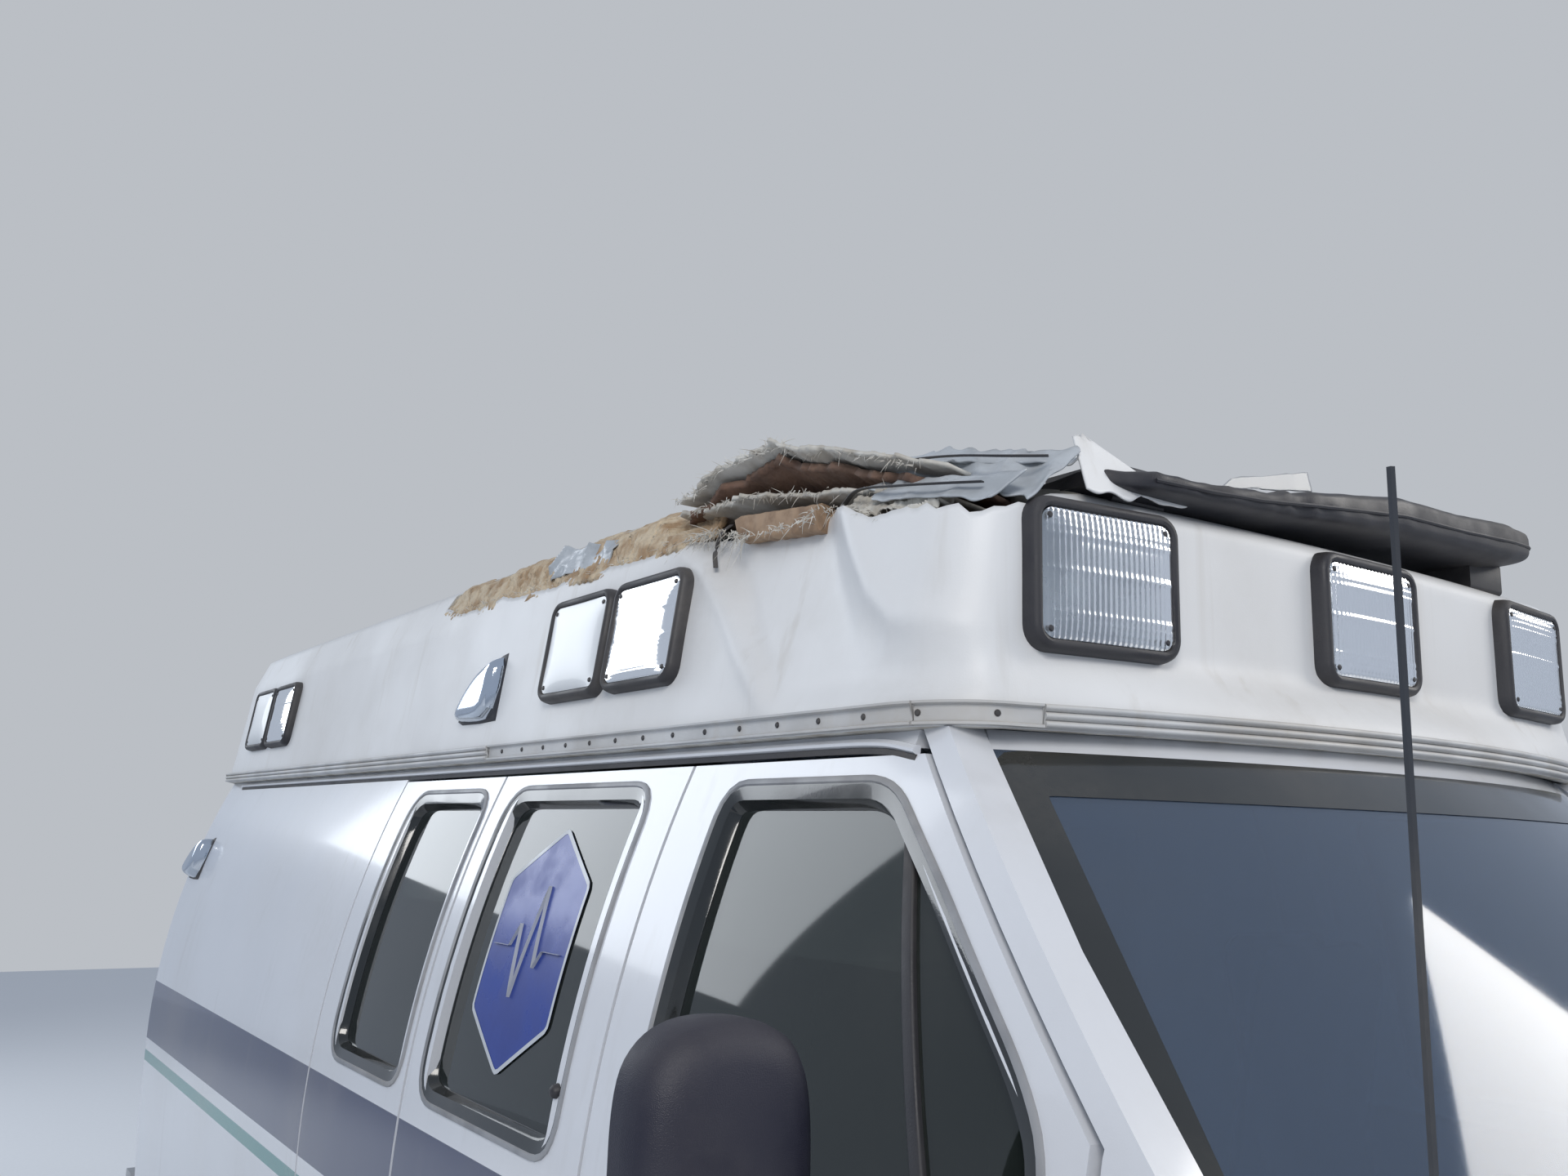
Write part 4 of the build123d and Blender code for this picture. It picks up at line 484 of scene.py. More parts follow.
BOARD = weathered("brown_board", (0.16, 0.085, 0.055), (0.09, 0.045, 0.030), (0.7, 0.9), dust=0.15, grain=1.0,
                  grain_scale=90.0, bump=0.003, scale=14.0)
TIMBER = weathered("timber", (0.34, 0.22, 0.13), (0.20, 0.12, 0.07), (0.6, 0.8), dust=0.2, scale=30.0)
FIBRE = weathered("glass_fibre", (0.62, 0.61, 0.57), (0.40, 0.37, 0.32), (0.5, 0.7), dust=0.15, scale=18.0)
TORN_SHEET = weathered("torn_sheet", (0.48, 0.52, 0.56), (0.34, 0.37, 0.40), (0.25, 0.5), dust=0.2,
                       scale=16.0)
PLATING_GREY = weathered("reflector", (0.60, 0.64, 0.68), (0.30, 0.33, 0.38), (0.12, 0.35), dust=0.05,
                         Metallic=0.9)


def glass(name, tint, transmission, rough):
    """Tinted glass: a dark base under a gloss, part of it transparent, with dust that dulls it."""
    material, tree, shader = new_material(name, Transmission_Weight=transmission, IOR=1.45, Coat_Weight=0.3,
                                          Coat_Roughness=0.03)
    dusty = place_group(tree, DUST, Amount=0.10, Scale=2.5).outputs[0]
    tree.links.new(mix_colour(tree, dusty, tint, (0.40, 0.38, 0.34)), shader.inputs["Base Color"])
    spread = add_node(tree, "ShaderNodeMapRange", {3: rough, 4: rough + 0.3}, {0: dusty})
    tree.links.new(spread.outputs[0], shader.inputs["Roughness"])
    return material


SIDE_GLASS = glass("dark_side_glass", (0.05, 0.065, 0.06), 0.75, 0.03)
SCREEN_GLASS = glass("screen_glass", (0.20, 0.28, 0.42), 0.80, 0.03)
CLEAR_LENS = glass("clear_lens", (0.80, 0.86, 0.92), 0.92, 0.06)
FROSTED_LENS = glass("frosted_lens", (0.46, 0.48, 0.50), 0.35, 0.45)

SLOT_FINISH = {
    "body_white": PAINT, "roof_white": GEL_COAT, "trim_white": MOULDING, "torn_core": FOAM,
    "screen_glass": SCREEN_GLASS, "tinted_glass": SIDE_GLASS, "lamp_clear": CLEAR_LENS,
    "bar_shell": BLACK_TRIM,
    "bright_metal": CHROME, "step_metal": TREAD_METAL, "grille_grey": BLACK_TRIM, "mast_steel": MAST,
    "mirror_black": MIRROR_SHELL, "tail_red": TAIL_LENS, "frame_black": CHASSIS, "bare_iron": IRON,
    "exhaust_steel": EXHAUST, "floor_grey": FLOORING, "cab_plastic": CAB_PLASTIC, "seat_vinyl": VINYL,
    "lining_white": LINING, "tyre_rubber": RUBBER, "rim_steel": WHEEL_PAINT,
}
for row in frame["record"]["subparts"]:
    node = nodes.get(row["node"])
    if node is not None:
        node.data.materials.clear()
        node.data.materials.append(PLAIN_PAINT if row["node"] == "hood"
                                   else SLOT_FINISH[row["material_slot"]])
print("finishes:", len(SLOT_FINISH))

# %% [markdown]
# ## The raised roof's skin
#
# The roof is a lean-walled box: walls that lean in, a crease, a soft shoulder, and a crown that ramps
# down towards a bowed face. One formula gives the height of its section at each station, and a grid
# carries it from the back to the front. The front closes with rings that shrink towards the middle of
# the face and turn the corner on a quarter circle. The tear is where two parts of the same grid stop
# short of each other on jagged lines.

# %% Section of the roof
ROOF_SEAT = 1.960
ROOF_HALF = 0.828
ROOF_LEAN = 0.14
CREASE_Z, SHOULDER_Z, CROWN_Z = 2.305, 2.400, 2.490
CREASE_Y = ROOF_HALF - ROOF_LEAN * (CREASE_Z - ROOF_SEAT)
SHOULDER_Y = CREASE_Y - 0.038
WALL_SHARE, SHOULDER_SHARE = 0.34, 0.46
ROOF_REAR = -2.600
RAMP_START, RAMP_END = (0.460, 2.452), (1.345, 2.303)
FACE_MIDDLE_X, FACE_CORNER_X, BROW_X = 1.412, 1.344, 1.483
FACE_TOP_Z = 2.262
BROW_LIP_Z, BROW_HEEL_Z = 1.985, 2.080
CORNER_RADIUS = 0.105
CAP_X = FACE_CORNER_X - CORNER_RADIUS + 0.008


def bowed(y, middle):
    """A shallow arch in plan through the roof's front corners:
    x = middle - bow * (y / half width) squared."""
    return middle - (middle - FACE_CORNER_X) * (y / ROOF_HALF) ** 2


def face_x(y, z):
    """The face: an arch that flares out to the brow over the windscreen, on a smooth step of the height."""
    flare = np.clip((BROW_HEEL_Z - z) / (BROW_HEEL_Z - BROW_LIP_Z), 0, 1)
    flare = flare * flare * (3 - 2 * flare)
    return bowed(y, FACE_MIDDLE_X) + flare * (bowed(y, BROW_X) - bowed(y, FACE_MIDDLE_X))


def section(share):
    """Half section of the roof, for a share from 0 at the foot to 1 at the middle: a straight wall to the
    crease, a straight shoulder, then a crown z = top - drop * (y / reach) ** 6, flat in the middle and
    round at the side."""
    share = np.asarray(share, float)
    knots = [0, WALL_SHARE, SHOULDER_SHARE]
    y = np.interp(share, knots, [ROOF_HALF, CREASE_Y, SHOULDER_Y])
    z = np.interp(share, knots, [ROOF_SEAT, CREASE_Z, SHOULDER_Z])
    t = np.clip((share - SHOULDER_SHARE) / (1 - SHOULDER_SHARE), 0, 1)
    y_top = SHOULDER_Y * (1 - t ** 1.6)
    z_top = CROWN_Z - (CROWN_Z - SHOULDER_Z) * (y_top / SHOULDER_Y) ** 6
    above = share > SHOULDER_SHARE
    return np.where(above, y_top, y), np.where(above, z_top, z)


def ramp_height(x):
    """Highest the roof may be at a station: level, then down the ramp, with its rear edge rounded off."""
    slope = (RAMP_END[1] - RAMP_START[1]) / (RAMP_END[0] - RAMP_START[0])
    ahead = RAMP_START[1] + slope * (x - RAMP_START[0])
    behind = CROWN_Z - 0.085 * np.clip((ROOF_REAR + 0.24 - x) / 0.24, 0, 1) ** 2.2
    return np.minimum(np.minimum(ahead, CROWN_Z), behind)


def soft_least(a, b, width):
    """The lesser of two heights, with the corner between them rounded over about the given width."""
    half = 0.5 * (a - b)
    return 0.5 * (a + b) - np.sqrt(half ** 2 + width ** 2)


def shell_point(x, v):
    """A point of the undented shell: station x, and v from -1 at the right foot, over 0 at the top, to 1 at
    the left foot. The last 50 mm at the back draw in on a quarter circle."""
    y, z = section(1 - np.abs(v))
    z = soft_least(z, ramp_height(x) + 0 * z, 0.010)
    squeeze = np.clip((x - ROOF_REAR - 0.13 * np.clip(z - ROOF_SEAT, 0, None)) / 0.05, 0, 1)
    y = y - 0.05 * (1 - np.sqrt(1 - (1 - squeeze) ** 2)) * np.clip(y / 0.6, 0, 1)
    return np.stack(np.broadcast_arrays(x, np.where(v < 0, -y, y), z), -1)


# %% Front of the shell
def cap_point(u, v):
    """Front of the undented shell. The last arch draws in to the face's edge,
    edge = foot + (arch - foot) * scale. For u from 0 to 1 the corner turns, arch + (edge - arch)(1 - cos t),
    forward by reach sin t. For u from 1 to 2 it runs over the face to the middle of its foot."""
    arch = shell_point(CAP_X, v)[..., 1:]
    foot = np.array([0.0, ROOF_SEAT])
    scale = np.array([1 - CORNER_RADIUS / ROOF_HALF,
                      (FACE_TOP_Z - ROOF_SEAT) / (ramp_height(CAP_X) - ROOF_SEAT)])
    edge = foot + (arch - foot) * scale
    t = np.clip(u, 0, 1) * math.pi / 2
    corner = arch + (edge - arch) * (1 - np.cos(t))[..., None]
    face = foot + np.clip(2 - u, 0, 1)[..., None] * (edge - foot)
    across = np.where(u[..., None] > 1, face, corner)
    reach = face_x(edge[..., 0], edge[..., 1]) - CAP_X
    x = np.where(u > 1, face_x(face[..., 0], face[..., 1]), CAP_X + reach * np.sin(t))
    return np.concatenate([x[..., None], across], -1)


# %% [markdown]
# ## Dents
#
# A dent is a distance by which the right wall is pushed in, given for every x and z. The blow pushed in
# one panel between two folds. Its rear fold starts behind the lamps and curves down. Its front fold
# drops from the mouth of the tear, then turns forward. A distance measured from each fold, with its
# sign, gives the panel: nothing outside, a steep slope at the fold, a slow slope beyond.

# %% Folds and dents
REAR_FOLD = np.array([(0.540, 2.345), (0.600, 2.312), (0.680, 2.268), (0.760, 2.190), (0.835, 2.104),
                      (0.905, 2.040), (0.930, 1.990)])
FRONT_FOLD = np.array([(1.060, 2.340), (1.085, 2.290), (1.115, 2.235), (1.165, 2.165), (1.225, 2.118),
                       (1.330, 2.098), (1.420, 2.060), (1.500, 2.000)])


def smooth_noise(x, z, seed, size):
    """Wandering value, mostly between -1 and 1: a sum of six sine waves of
    different directions and lengths."""
    draw = np.random.default_rng(seed)
    total = np.zeros(np.broadcast(x, z).shape)
    for _ in range(6):
        angle, phase = draw.uniform(0, 2 * math.pi, 2)
        wave = 2 * math.pi / (size * draw.uniform(0.5, 1.6))
        total += np.sin(wave * (x * math.cos(angle) + z * math.sin(angle)) + phase)
    return total / 3.2


def fold_distance(x, z, line):
    """Distance from a line of straight stretches, above 0 on its left as it runs and below 0 on its right."""
    x, z = np.broadcast_arrays(x, z)
    nearest = np.full(x.shape, np.inf)
    signed = np.zeros(x.shape)
    for (x_a, z_a), (x_b, z_b) in zip(line, line[1:]):
        along = np.clip(((x - x_a) * (x_b - x_a) + (z - z_a) * (z_b - z_a))
                        / ((x_b - x_a) ** 2 + (z_b - z_a) ** 2), 0, 1)
        off_x, off_z = x - x_a - along * (x_b - x_a), z - z_a - along * (z_b - z_a)
        away = np.hypot(off_x, off_z)
        side = np.sign((x_b - x_a) * off_z - (z_b - z_a) * off_x)
        signed = np.where(away < nearest, away * side, signed)
        nearest = np.minimum(nearest, away)
    return signed


def smooth_step(value):
    """0 below 0, 1 above 1, and 3 t^2 - 2 t^3 between."""
    t = np.clip(value, 0, 1)
    return t * t * (3 - 2 * t)


def wall_dent(x, z):
    """How far the right wall is pushed in at a place: the panel between the folds, the folds' rolled crests,
    a few flat facets inside the panel, and a slow waviness round it."""
    past_rear = fold_distance(x, z, REAR_FOLD)
    behind_front = -fold_distance(x, z, FRONT_FOLD)
    depth = 0.012 + 0.032 * smooth_step((z - 2.02) / 0.26)
    panel = smooth_step(past_rear / 0.045) * smooth_step(behind_front / 0.100) * depth
    crests = -0.005 * np.exp(-(past_rear / 0.020) ** 2) - 0.006 * np.exp(-(behind_front / 0.022) ** 2)
    facets = (0.006 * np.abs(((x + 0.45 * z) / 0.16) % 2 - 1) * smooth_step(past_rear / 0.05)
              * smooth_step(behind_front / 0.08))
    fade = smooth_step((z - 1.985) / 0.06)
    near = np.exp(-((x - 0.9) / 0.5) ** 2)
    return (panel + crests + facets + 0.004 * near * smooth_noise(x, z, 4, 0.28)) * fade


def dented(points):
    """Points of the shell with the right wall pushed straight in by the dent at their place, fading out over
    the top and round the front corner."""
    x, y, z = points[..., 0], points[..., 1], points[..., 2]
    share = smooth_step((-y - 0.60) / 0.14) * smooth_step((1.47 - x) / 0.16) * smooth_step((x - 0.35) / 0.2)
    push = wall_dent(x, z) * share
    moved = points.copy()
    moved[..., 1] += push
    return moved


# %% The tear's two lips
# Along the tear: station, height of the lower lip, and how far from the middle line the upper lip reaches
TEAR = np.array([
    (-0.640, 2.368, 0.752), (-0.540, 2.346, 0.728), (-0.380, 2.338, 0.714), (-0.180, 2.340, 0.722),
    (0.060, 2.326, 0.704), (0.300, 2.330, 0.700), (0.460, 2.326, 0.690), (0.560, 2.334, 0.642),
    (0.700, 2.334, 0.600), (0.780, 2.309, 0.586), (0.930, 2.300, 0.566), (0.987, 2.314, 0.562),
    (1.083, 2.298, 0.560), (1.143, 2.272, 0.572), (1.247, 2.262, 0.600),
])
LIPS_MEET_Z = 2.366
SECTION_STEPS = np.linspace(0, 1, 500)
SECTION_Y, SECTION_Z = section(SECTION_STEPS)
print("tear: from", TEAR[0, 0], "to", TEAR[-1, 0], "along the van")
LIP_WAVES = ((0.110, 0.006), (0.034, 0.004), (0.011, 0.0028))


def ragged(x, seed, waves=LIP_WAVES):
    """Offset of a torn edge: random heights on three spacings, joined by straight lines and added up."""
    draw = np.random.default_rng(seed)
    total = np.zeros_like(np.asarray(x, float))
    for spacing, size in waves:
        knots = np.arange(-0.8, 1.6, spacing)
        total = total + np.interp(x, knots, draw.uniform(-size, size, len(knots)))
    return total


def lips(x):
    """Section shares of the lower and the upper lip at each station. They meet where the roof is whole."""
    low_z = np.interp(x, TEAR[:, 0], TEAR[:, 1]) + ragged(x, 11)
    high_y = np.interp(x, TEAR[:, 0], TEAR[:, 2]) + ragged(x, 12)
    low = np.interp(low_z, SECTION_Z, SECTION_STEPS)
    high = np.maximum(np.interp(-high_y, -SECTION_Y, SECTION_STEPS), low)
    opened = smooth_step((x - TEAR[0, 0]) / 0.04)
    middle = np.interp(LIPS_MEET_Z, SECTION_Z, SECTION_STEPS)
    return middle + (low - middle) * opened, middle + (high - middle) * opened


# %% The skin as a mesh
REAR_SPACING, TORN_SPACING = 0.036, 0.0065
stations = np.unique(np.concatenate([
    ROOF_REAR + 0.06 * np.linspace(0, 1, 6) ** 1.5,
    np.arange(ROOF_REAR + 0.08, -0.70, REAR_SPACING),
    np.arange(-0.70, CAP_X - 0.004, TORN_SPACING),
    [CAP_X],
]))
LOWER_STEPS, UPPER_STEPS = 28, 58
CORNER_ROWS, FACE_ROWS = 12, 26


def two_sheets(point, first, low, high):
    """The lower and the upper sheet of a torn stretch: both run along the first parameter, one from the right
    foot to the lower lip, the other from the upper lip over the top to the left foot."""
    lower = -1 + low[:, None] * np.linspace(0, 1, LOWER_STEPS)[None]
    upper = (-1 + high)[:, None] + (2 - high)[:, None] * np.linspace(0, 1, UPPER_STEPS)[None]
    return [point(first[:, None] + 0 * v, v) for v in (lower, upper)]


low_lip, high_lip = lips(stations)
shell_sheets = two_sheets(shell_point, stations, low_lip, high_lip)
cap_u = np.concatenate([np.linspace(0, 1, CORNER_ROWS), np.linspace(1, 2, FACE_ROWS)[1:]])
closing = smooth_step((cap_u - 0.50) / 0.55)
meeting = 0.80 * low_lip[-1] + 0.20 * high_lip[-1]
cap_low = low_lip[-1] + (meeting - low_lip[-1]) * closing + 0.006 * np.sin(23 * cap_u) * (1 - closing)
cap_high = high_lip[-1] + (meeting - high_lip[-1]) * closing
cap_sheets = two_sheets(cap_point, cap_u, cap_low, np.maximum(cap_high, cap_low))


def back_wall(rows=10):
    """From the first station in to the middle of the foot, on the leaning back plane."""
    ring = np.concatenate([sheet[0] for sheet in shell_sheets])
    foot = np.array([ROOF_REAR, 0.0, ROOF_SEAT])
    shrink = np.linspace(1, 0, rows)[:, None, None]
    return grid(foot + shrink * (ring[None] - foot))


def thicken(piece, thickness, offset, inner=0, rim=0):
    """Solidify: the wall's thickness, to the inside (-1) or to both sides (0), with other finishes in and
    round it."""
    wall = piece.modifiers.new("wall", "SOLIDIFY")
    wall.thickness = thickness
    wall.offset = offset
    wall.material_offset = inner
    wall.material_offset_rim = rim


SHELL_THICKNESS = 0.024
skin_parts = [grid(dented(sheet)) for sheet in shell_sheets + cap_sheets] + [back_wall()]
roof_skin = put("roof_skin", several(skin_parts), [GEL_COAT, LINING, FIBRE], replaces=["raised_roof"],
                sharp=math.radians(50))
thicken(roof_skin, SHELL_THICKNESS, -1, 1, 2)

# %% [markdown]
# ## What the tear lays bare
#
# Behind the lower lip the skin has peeled off a cream foam core that is cracked into blocks and stained.
# Further forward the whole shoulder is gone: the roof's brown inner board shows from below under a
# curled flap, white fibres fray from every edge, and a short length of timber sticks out.


# %% Core strip
def core_strip():
    """The core in the roof's own form, sunk below it: roof point - sunk + noise, cut by cracks between its
    blocks of foam."""
    x = np.linspace(-0.628, 0.60, 260)
    low, high = lips(x)
    share = (low - 0.02)[:, None] + (high - low + 0.05)[:, None] * np.linspace(0, 1, 22)[None]
    points = dented(shell_point(x[:, None] + 0 * share, share - 1))
    across, along = points[..., 2] * 1.4, points[..., 0]
    rough = 0.005 * smooth_noise(along, across, 21, 0.16) + 0.003 * smooth_noise(along, across, 22, 0.035)
    block = np.abs(((along + 0.35 * across + 0.02 * smooth_noise(along, across, 23, 0.2)) / 0.078) % 1 - 0.5)
    rough = rough - 0.007 * np.clip(1 - block / 0.05, 0, 1)
    points[..., 1] += 0.011 - rough
    points[..., 2] -= 0.006 - 0.5 * rough
    return grid(points)


core_piece = put("core_strip", core_strip(), [FOAM], replaces=["roof_core"], outward=False)
thicken(core_piece, 0.010, -1)

# %% Curled flap, boards and timber
MOUTH = (0.50, 1.245)
HINGE_Y = 0.52
# Along the mouth: station, height of the flap's outer edge, and how far out it reaches
FLAP_EDGE = np.array([
    (0.500, 2.425, 0.735), (0.598, 2.432, 0.755), (0.658, 2.455, 0.760), (0.733, 2.455, 0.758),
    (0.845, 2.463, 0.762), (0.894, 2.438, 0.755), (0.973, 2.424, 0.752), (1.098, 2.386, 0.748),
    (1.174, 2.360, 0.742), (1.245, 2.342, 0.730),
])
# Along the mouth: station and height of the pale lower laminate's edge
BAND_EDGE = np.array([(0.500, 2.400), (0.581, 2.398), (0.705, 2.396), (0.832, 2.377), (0.948, 2.356),
                      (1.074, 2.335), (1.190, 2.306), (1.245, 2.296)])


def curled(x_ends, edge_z, edge_y, hinge_drop, seed, power, rows=26, spacing=0.005):
    """A sheet that leaves the roof level at the hinge line and curls to its ragged edge:
    z = hinge + (edge - hinge) s^power, and y runs straight from the hinge line to the edge, for s from 0 at
    the hinge to 1 at the edge."""
    x = np.arange(x_ends[0], x_ends[1], spacing)
    s = np.linspace(0, 1, rows)[None]
    hinge_z = (ramp_height(x) - hinge_drop)[:, None]
    reach = (edge_y(x) + ragged(x, seed, ((0.09, 0.010), (0.028, 0.008), (0.009, 0.006))))[:, None]
    y = -(HINGE_Y + (reach - HINGE_Y) * s)
    z = hinge_z + ((edge_z(x) + 0.4 * ragged(x, seed + 1))[:, None] - hinge_z) * s ** power
    z = z + 0.003 * smooth_noise(x[:, None], y, 35, 0.11) * s
    return grid(np.stack(np.broadcast_arrays(x[:, None], y, z), -1))


def edge_value(table, column, shift=0.0):
    """A function of x that reads one column of a table, moved by a shift."""
    return lambda x: np.interp(x, table[:, 0], table[:, column]) + shift


def always(value):
    """A function of x that has one value everywhere."""
    return lambda x: value + 0 * x


# Name, the edge's height and how far out it is, drop at the hinge, seed, power, finish, slot and thickness
FLAPS = (
    ("curled_flap", edge_value(FLAP_EDGE, 1), edge_value(FLAP_EDGE, 2), 0.012, 31, 1.5,
     FIBRE, "roof_white", 0.006),
    ("inner_board", edge_value(FLAP_EDGE, 1, -0.030), edge_value(FLAP_EDGE, 2, -0.020), 0.034, 33, 1.3,
     BOARD, "torn_core", 0.012),
    ("lower_laminate", edge_value(BAND_EDGE, 1), always(0.735), 0.070, 37, 0.8,
     FIBRE, "torn_core", 0.007),
)
for name, edge_z, edge_y, drop, seed, power, finish, slot, thickness in FLAPS:
    flap = put(name, curled(MOUTH, edge_z, edge_y, drop, seed, power), [finish], outward=False)
    thicken(flap, thickness, 0)


def fallen_board():
    """A dark board fallen behind the wall's lip: a shelf below the mouth, from behind the wall inwards."""
    x = np.linspace(0.56, 1.30, 120)
    s = np.linspace(0, 1, 12)[None]
    low = np.interp(x, TEAR[:, 0], TEAR[:, 1])[:, None]
    y = -(0.700 - 0.24 * s + 0.3 * ragged(x, 41)[:, None] * (1 - s))
    z = low - 0.034 + 0.030 * s + 0.008 * smooth_noise(x[:, None], y, 42, 0.12)
    return grid(np.stack(np.broadcast_arrays(x[:, None], y, z), -1))


shelf = put("fallen_board", fallen_board(), [BOARD], outward=False)
thicken(shelf, 0.012, -1)


TIMBER_ENDS, TIMBER_AT, TIMBER_FALL = (0.745, 0.972), (0.86, -0.735, 2.318), 0.10


def timber_block():
    """A broken length of timber: a box of rounded section along x whose ends are splintered by noise."""
    x = np.linspace(*TIMBER_ENDS, 30)
    outline = rounded_outline(0.044, 0.046, 0.006, 4)
    y = TIMBER_AT[1] + outline[None, :, 0]
    z = TIMBER_AT[2] + outline[None, :, 1] - TIMBER_FALL * (x[:, None] - TIMBER_AT[0])
    ring = np.stack(np.broadcast_arrays(x[:, None], y, z), -1).copy()
    splinter = 0.010 * smooth_noise(ring[..., 1] * 9, ring[..., 2] * 9, 51, 0.1)
    ring[[0, -1], :, 0] += splinter[[0, -1]]
    ring[..., 1:] += 0.0015 * smooth_noise(ring[..., 0], ring[..., 2], 52, 0.03)[..., None]
    caps = [np.broadcast_to(ring[k].mean(0), ring[k].shape)[None] for k in (0, -1)]
    return grid(np.concatenate([caps[0], ring, caps[1]]), close_columns=True)


put("stiffener_timber", timber_block(), [TIMBER])


# %% Frayed fibres
def strands(anchors, aims, lengths, seed, radius=0.0011, steps=5, sag=0.35, curl=0.25):
    """Thin three-sided tapered threads: point = anchor + length (aim s + side curl s^2 - up sag s^2)."""
    draw = np.random.default_rng(seed)
    count = len(anchors)
    aims = aims / np.linalg.norm(aims, axis=1, keepdims=True)
    s = np.linspace(0, 1, steps)[None, :, None]
    bend = draw.normal(0, curl, (count, 1, 3)) - np.array([0, 0, sag])
    line = anchors[:, None] + lengths[:, None, None] * (aims[:, None] * s + bend * s ** 2)
    side = np.cross(aims, (0.3, 0.2, 1.0))
    side /= np.linalg.norm(side, axis=1, keepdims=True)
    other = np.cross(aims, side)
    turn = np.arange(3) * 2 * math.pi / 3
    thin = (radius * (1 - 0.85 * s))[..., None]
    ring = np.cos(turn)[None, None, :, None] * side[:, None, None]
    ring = ring + np.sin(turn)[None, None, :, None] * other[:, None, None]
    points = line[:, :, None] + thin * ring
    start = (np.arange(count) * steps * 3)[:, None, None]
    i, j = np.meshgrid(np.arange(steps - 1), np.arange(3), indexing="ij")
    j_next = (j + 1) % 3
    corners = np.stack([i * 3 + j, i * 3 + j_next, (i + 1) * 3 + j_next, (i + 1) * 3 + j], -1)
    return points.reshape(-1, 3), (corners.reshape(1, -1, 4) + start).reshape(-1, 4)


def fray(seed, count, x_range, place, aim, length, spread=0.6):
    """Threads whose roots lie at random stations on a line, and whose aims scatter round one direction."""
    draw = np.random.default_rng(seed)
    x = np.sort(draw.uniform(*x_range, count))
    roots = place(x) + draw.normal(0, 0.003, (count, 3))
    aims = np.asarray(aim, float) + draw.normal(0, spread, (count, 3))
    return strands(roots, aims, draw.uniform(*length, count), seed + 100)


def on_table(table, y_value, z_shift=0.0):
    """A function that puts stations on a tear's edge, from a table of its heights."""
    return lambda x: np.stack([x, -y_value(x), np.interp(x, table[:, 0], table[:, 1]) + z_shift], 1)


def wall_y(table):
    """How far out the wall is at the height of a table's edge."""
    return lambda x: ROOF_HALF - ROOF_LEAN * (np.interp(x, table[:, 0], table[:, 1]) - ROOF_SEAT) - 0.012


# Seed, number of threads, stations, the line they grow from, their direction and lengths
FRAYS = (
    (61, 170, (0.52, 0.90), on_table(FLAP_EDGE, always(0.750), -0.004), (-0.3, -0.6, 0.4), (0.006, 0.026)),
    (62, 80, (0.90, 1.22), on_table(FLAP_EDGE, always(0.745), -0.006), (-0.2, -0.5, -0.3), (0.005, 0.016)),
    (63, 150, (0.55, 1.23), on_table(BAND_EDGE, always(0.735)), (0, -0.9, -0.3), (0.005, 0.018)),
    (64, 170, (0.50, 1.20), on_table(TEAR, wall_y(TEAR)), (0, -0.6, 0.1), (0.006, 0.022)),
    (65, 90, (0.56, 0.80), on_table(TEAR, wall_y(TEAR)), (0.1, -0.5, -0.9), (0.015, 0.045)),
    (66, 120, (-0.60, 0.52), on_table(TEAR, wall_y(TEAR), 0.004), (-0.2, -0.5, 0.2), (0.005, 0.018)),
)
frayed = several([fray(*values) for values in FRAYS])
put("frayed_fibres", frayed, [FIBRE], outward=False)


# %% Crumpled sheets, peeled skin and loose edging
def crumpled(corners, columns, rows, depth, size, seed, ragged_rim=0.006):
    """A crushed sheet between four corners: a bilinear patch pushed off its plane by folded noise, 1 - 2 |n|,
    whose ridges are sharp, with a ragged rim."""
    corner = np.asarray(corners, float)
    u = np.linspace(0, 1, columns)[:, None, None]
    v = np.linspace(0, 1, rows)[None, :, None]
    flat = ((1 - u) * (1 - v) * corner[0] + u * (1 - v) * corner[1] + u * v * corner[2]
            + (1 - u) * v * corner[3])
    normal = np.cross(corner[1] - corner[0], corner[3] - corner[0])
    normal /= np.linalg.norm(normal)
    length, width = (np.linalg.norm(corner[k] - corner[0]) for k in (1, 3))
    a, b = u[..., 0] * length, v[..., 0] * width
    folds = 1 - 2 * np.abs(smooth_noise(a, b, seed, size))
    folds = folds + 0.12 * (1 - 2 * np.abs(smooth_noise(a, b, seed + 1, size / 2.3)))
    edge = np.abs(2 * v[..., 0] - 1) ** 10
    rim = (smooth_noise(a, b, seed + 2, 0.06) * edge * ragged_rim)[..., None]
    rim = rim * (corner[3] - corner[0]) / width
    return grid(flat + depth * folds[..., None] * normal + rim)


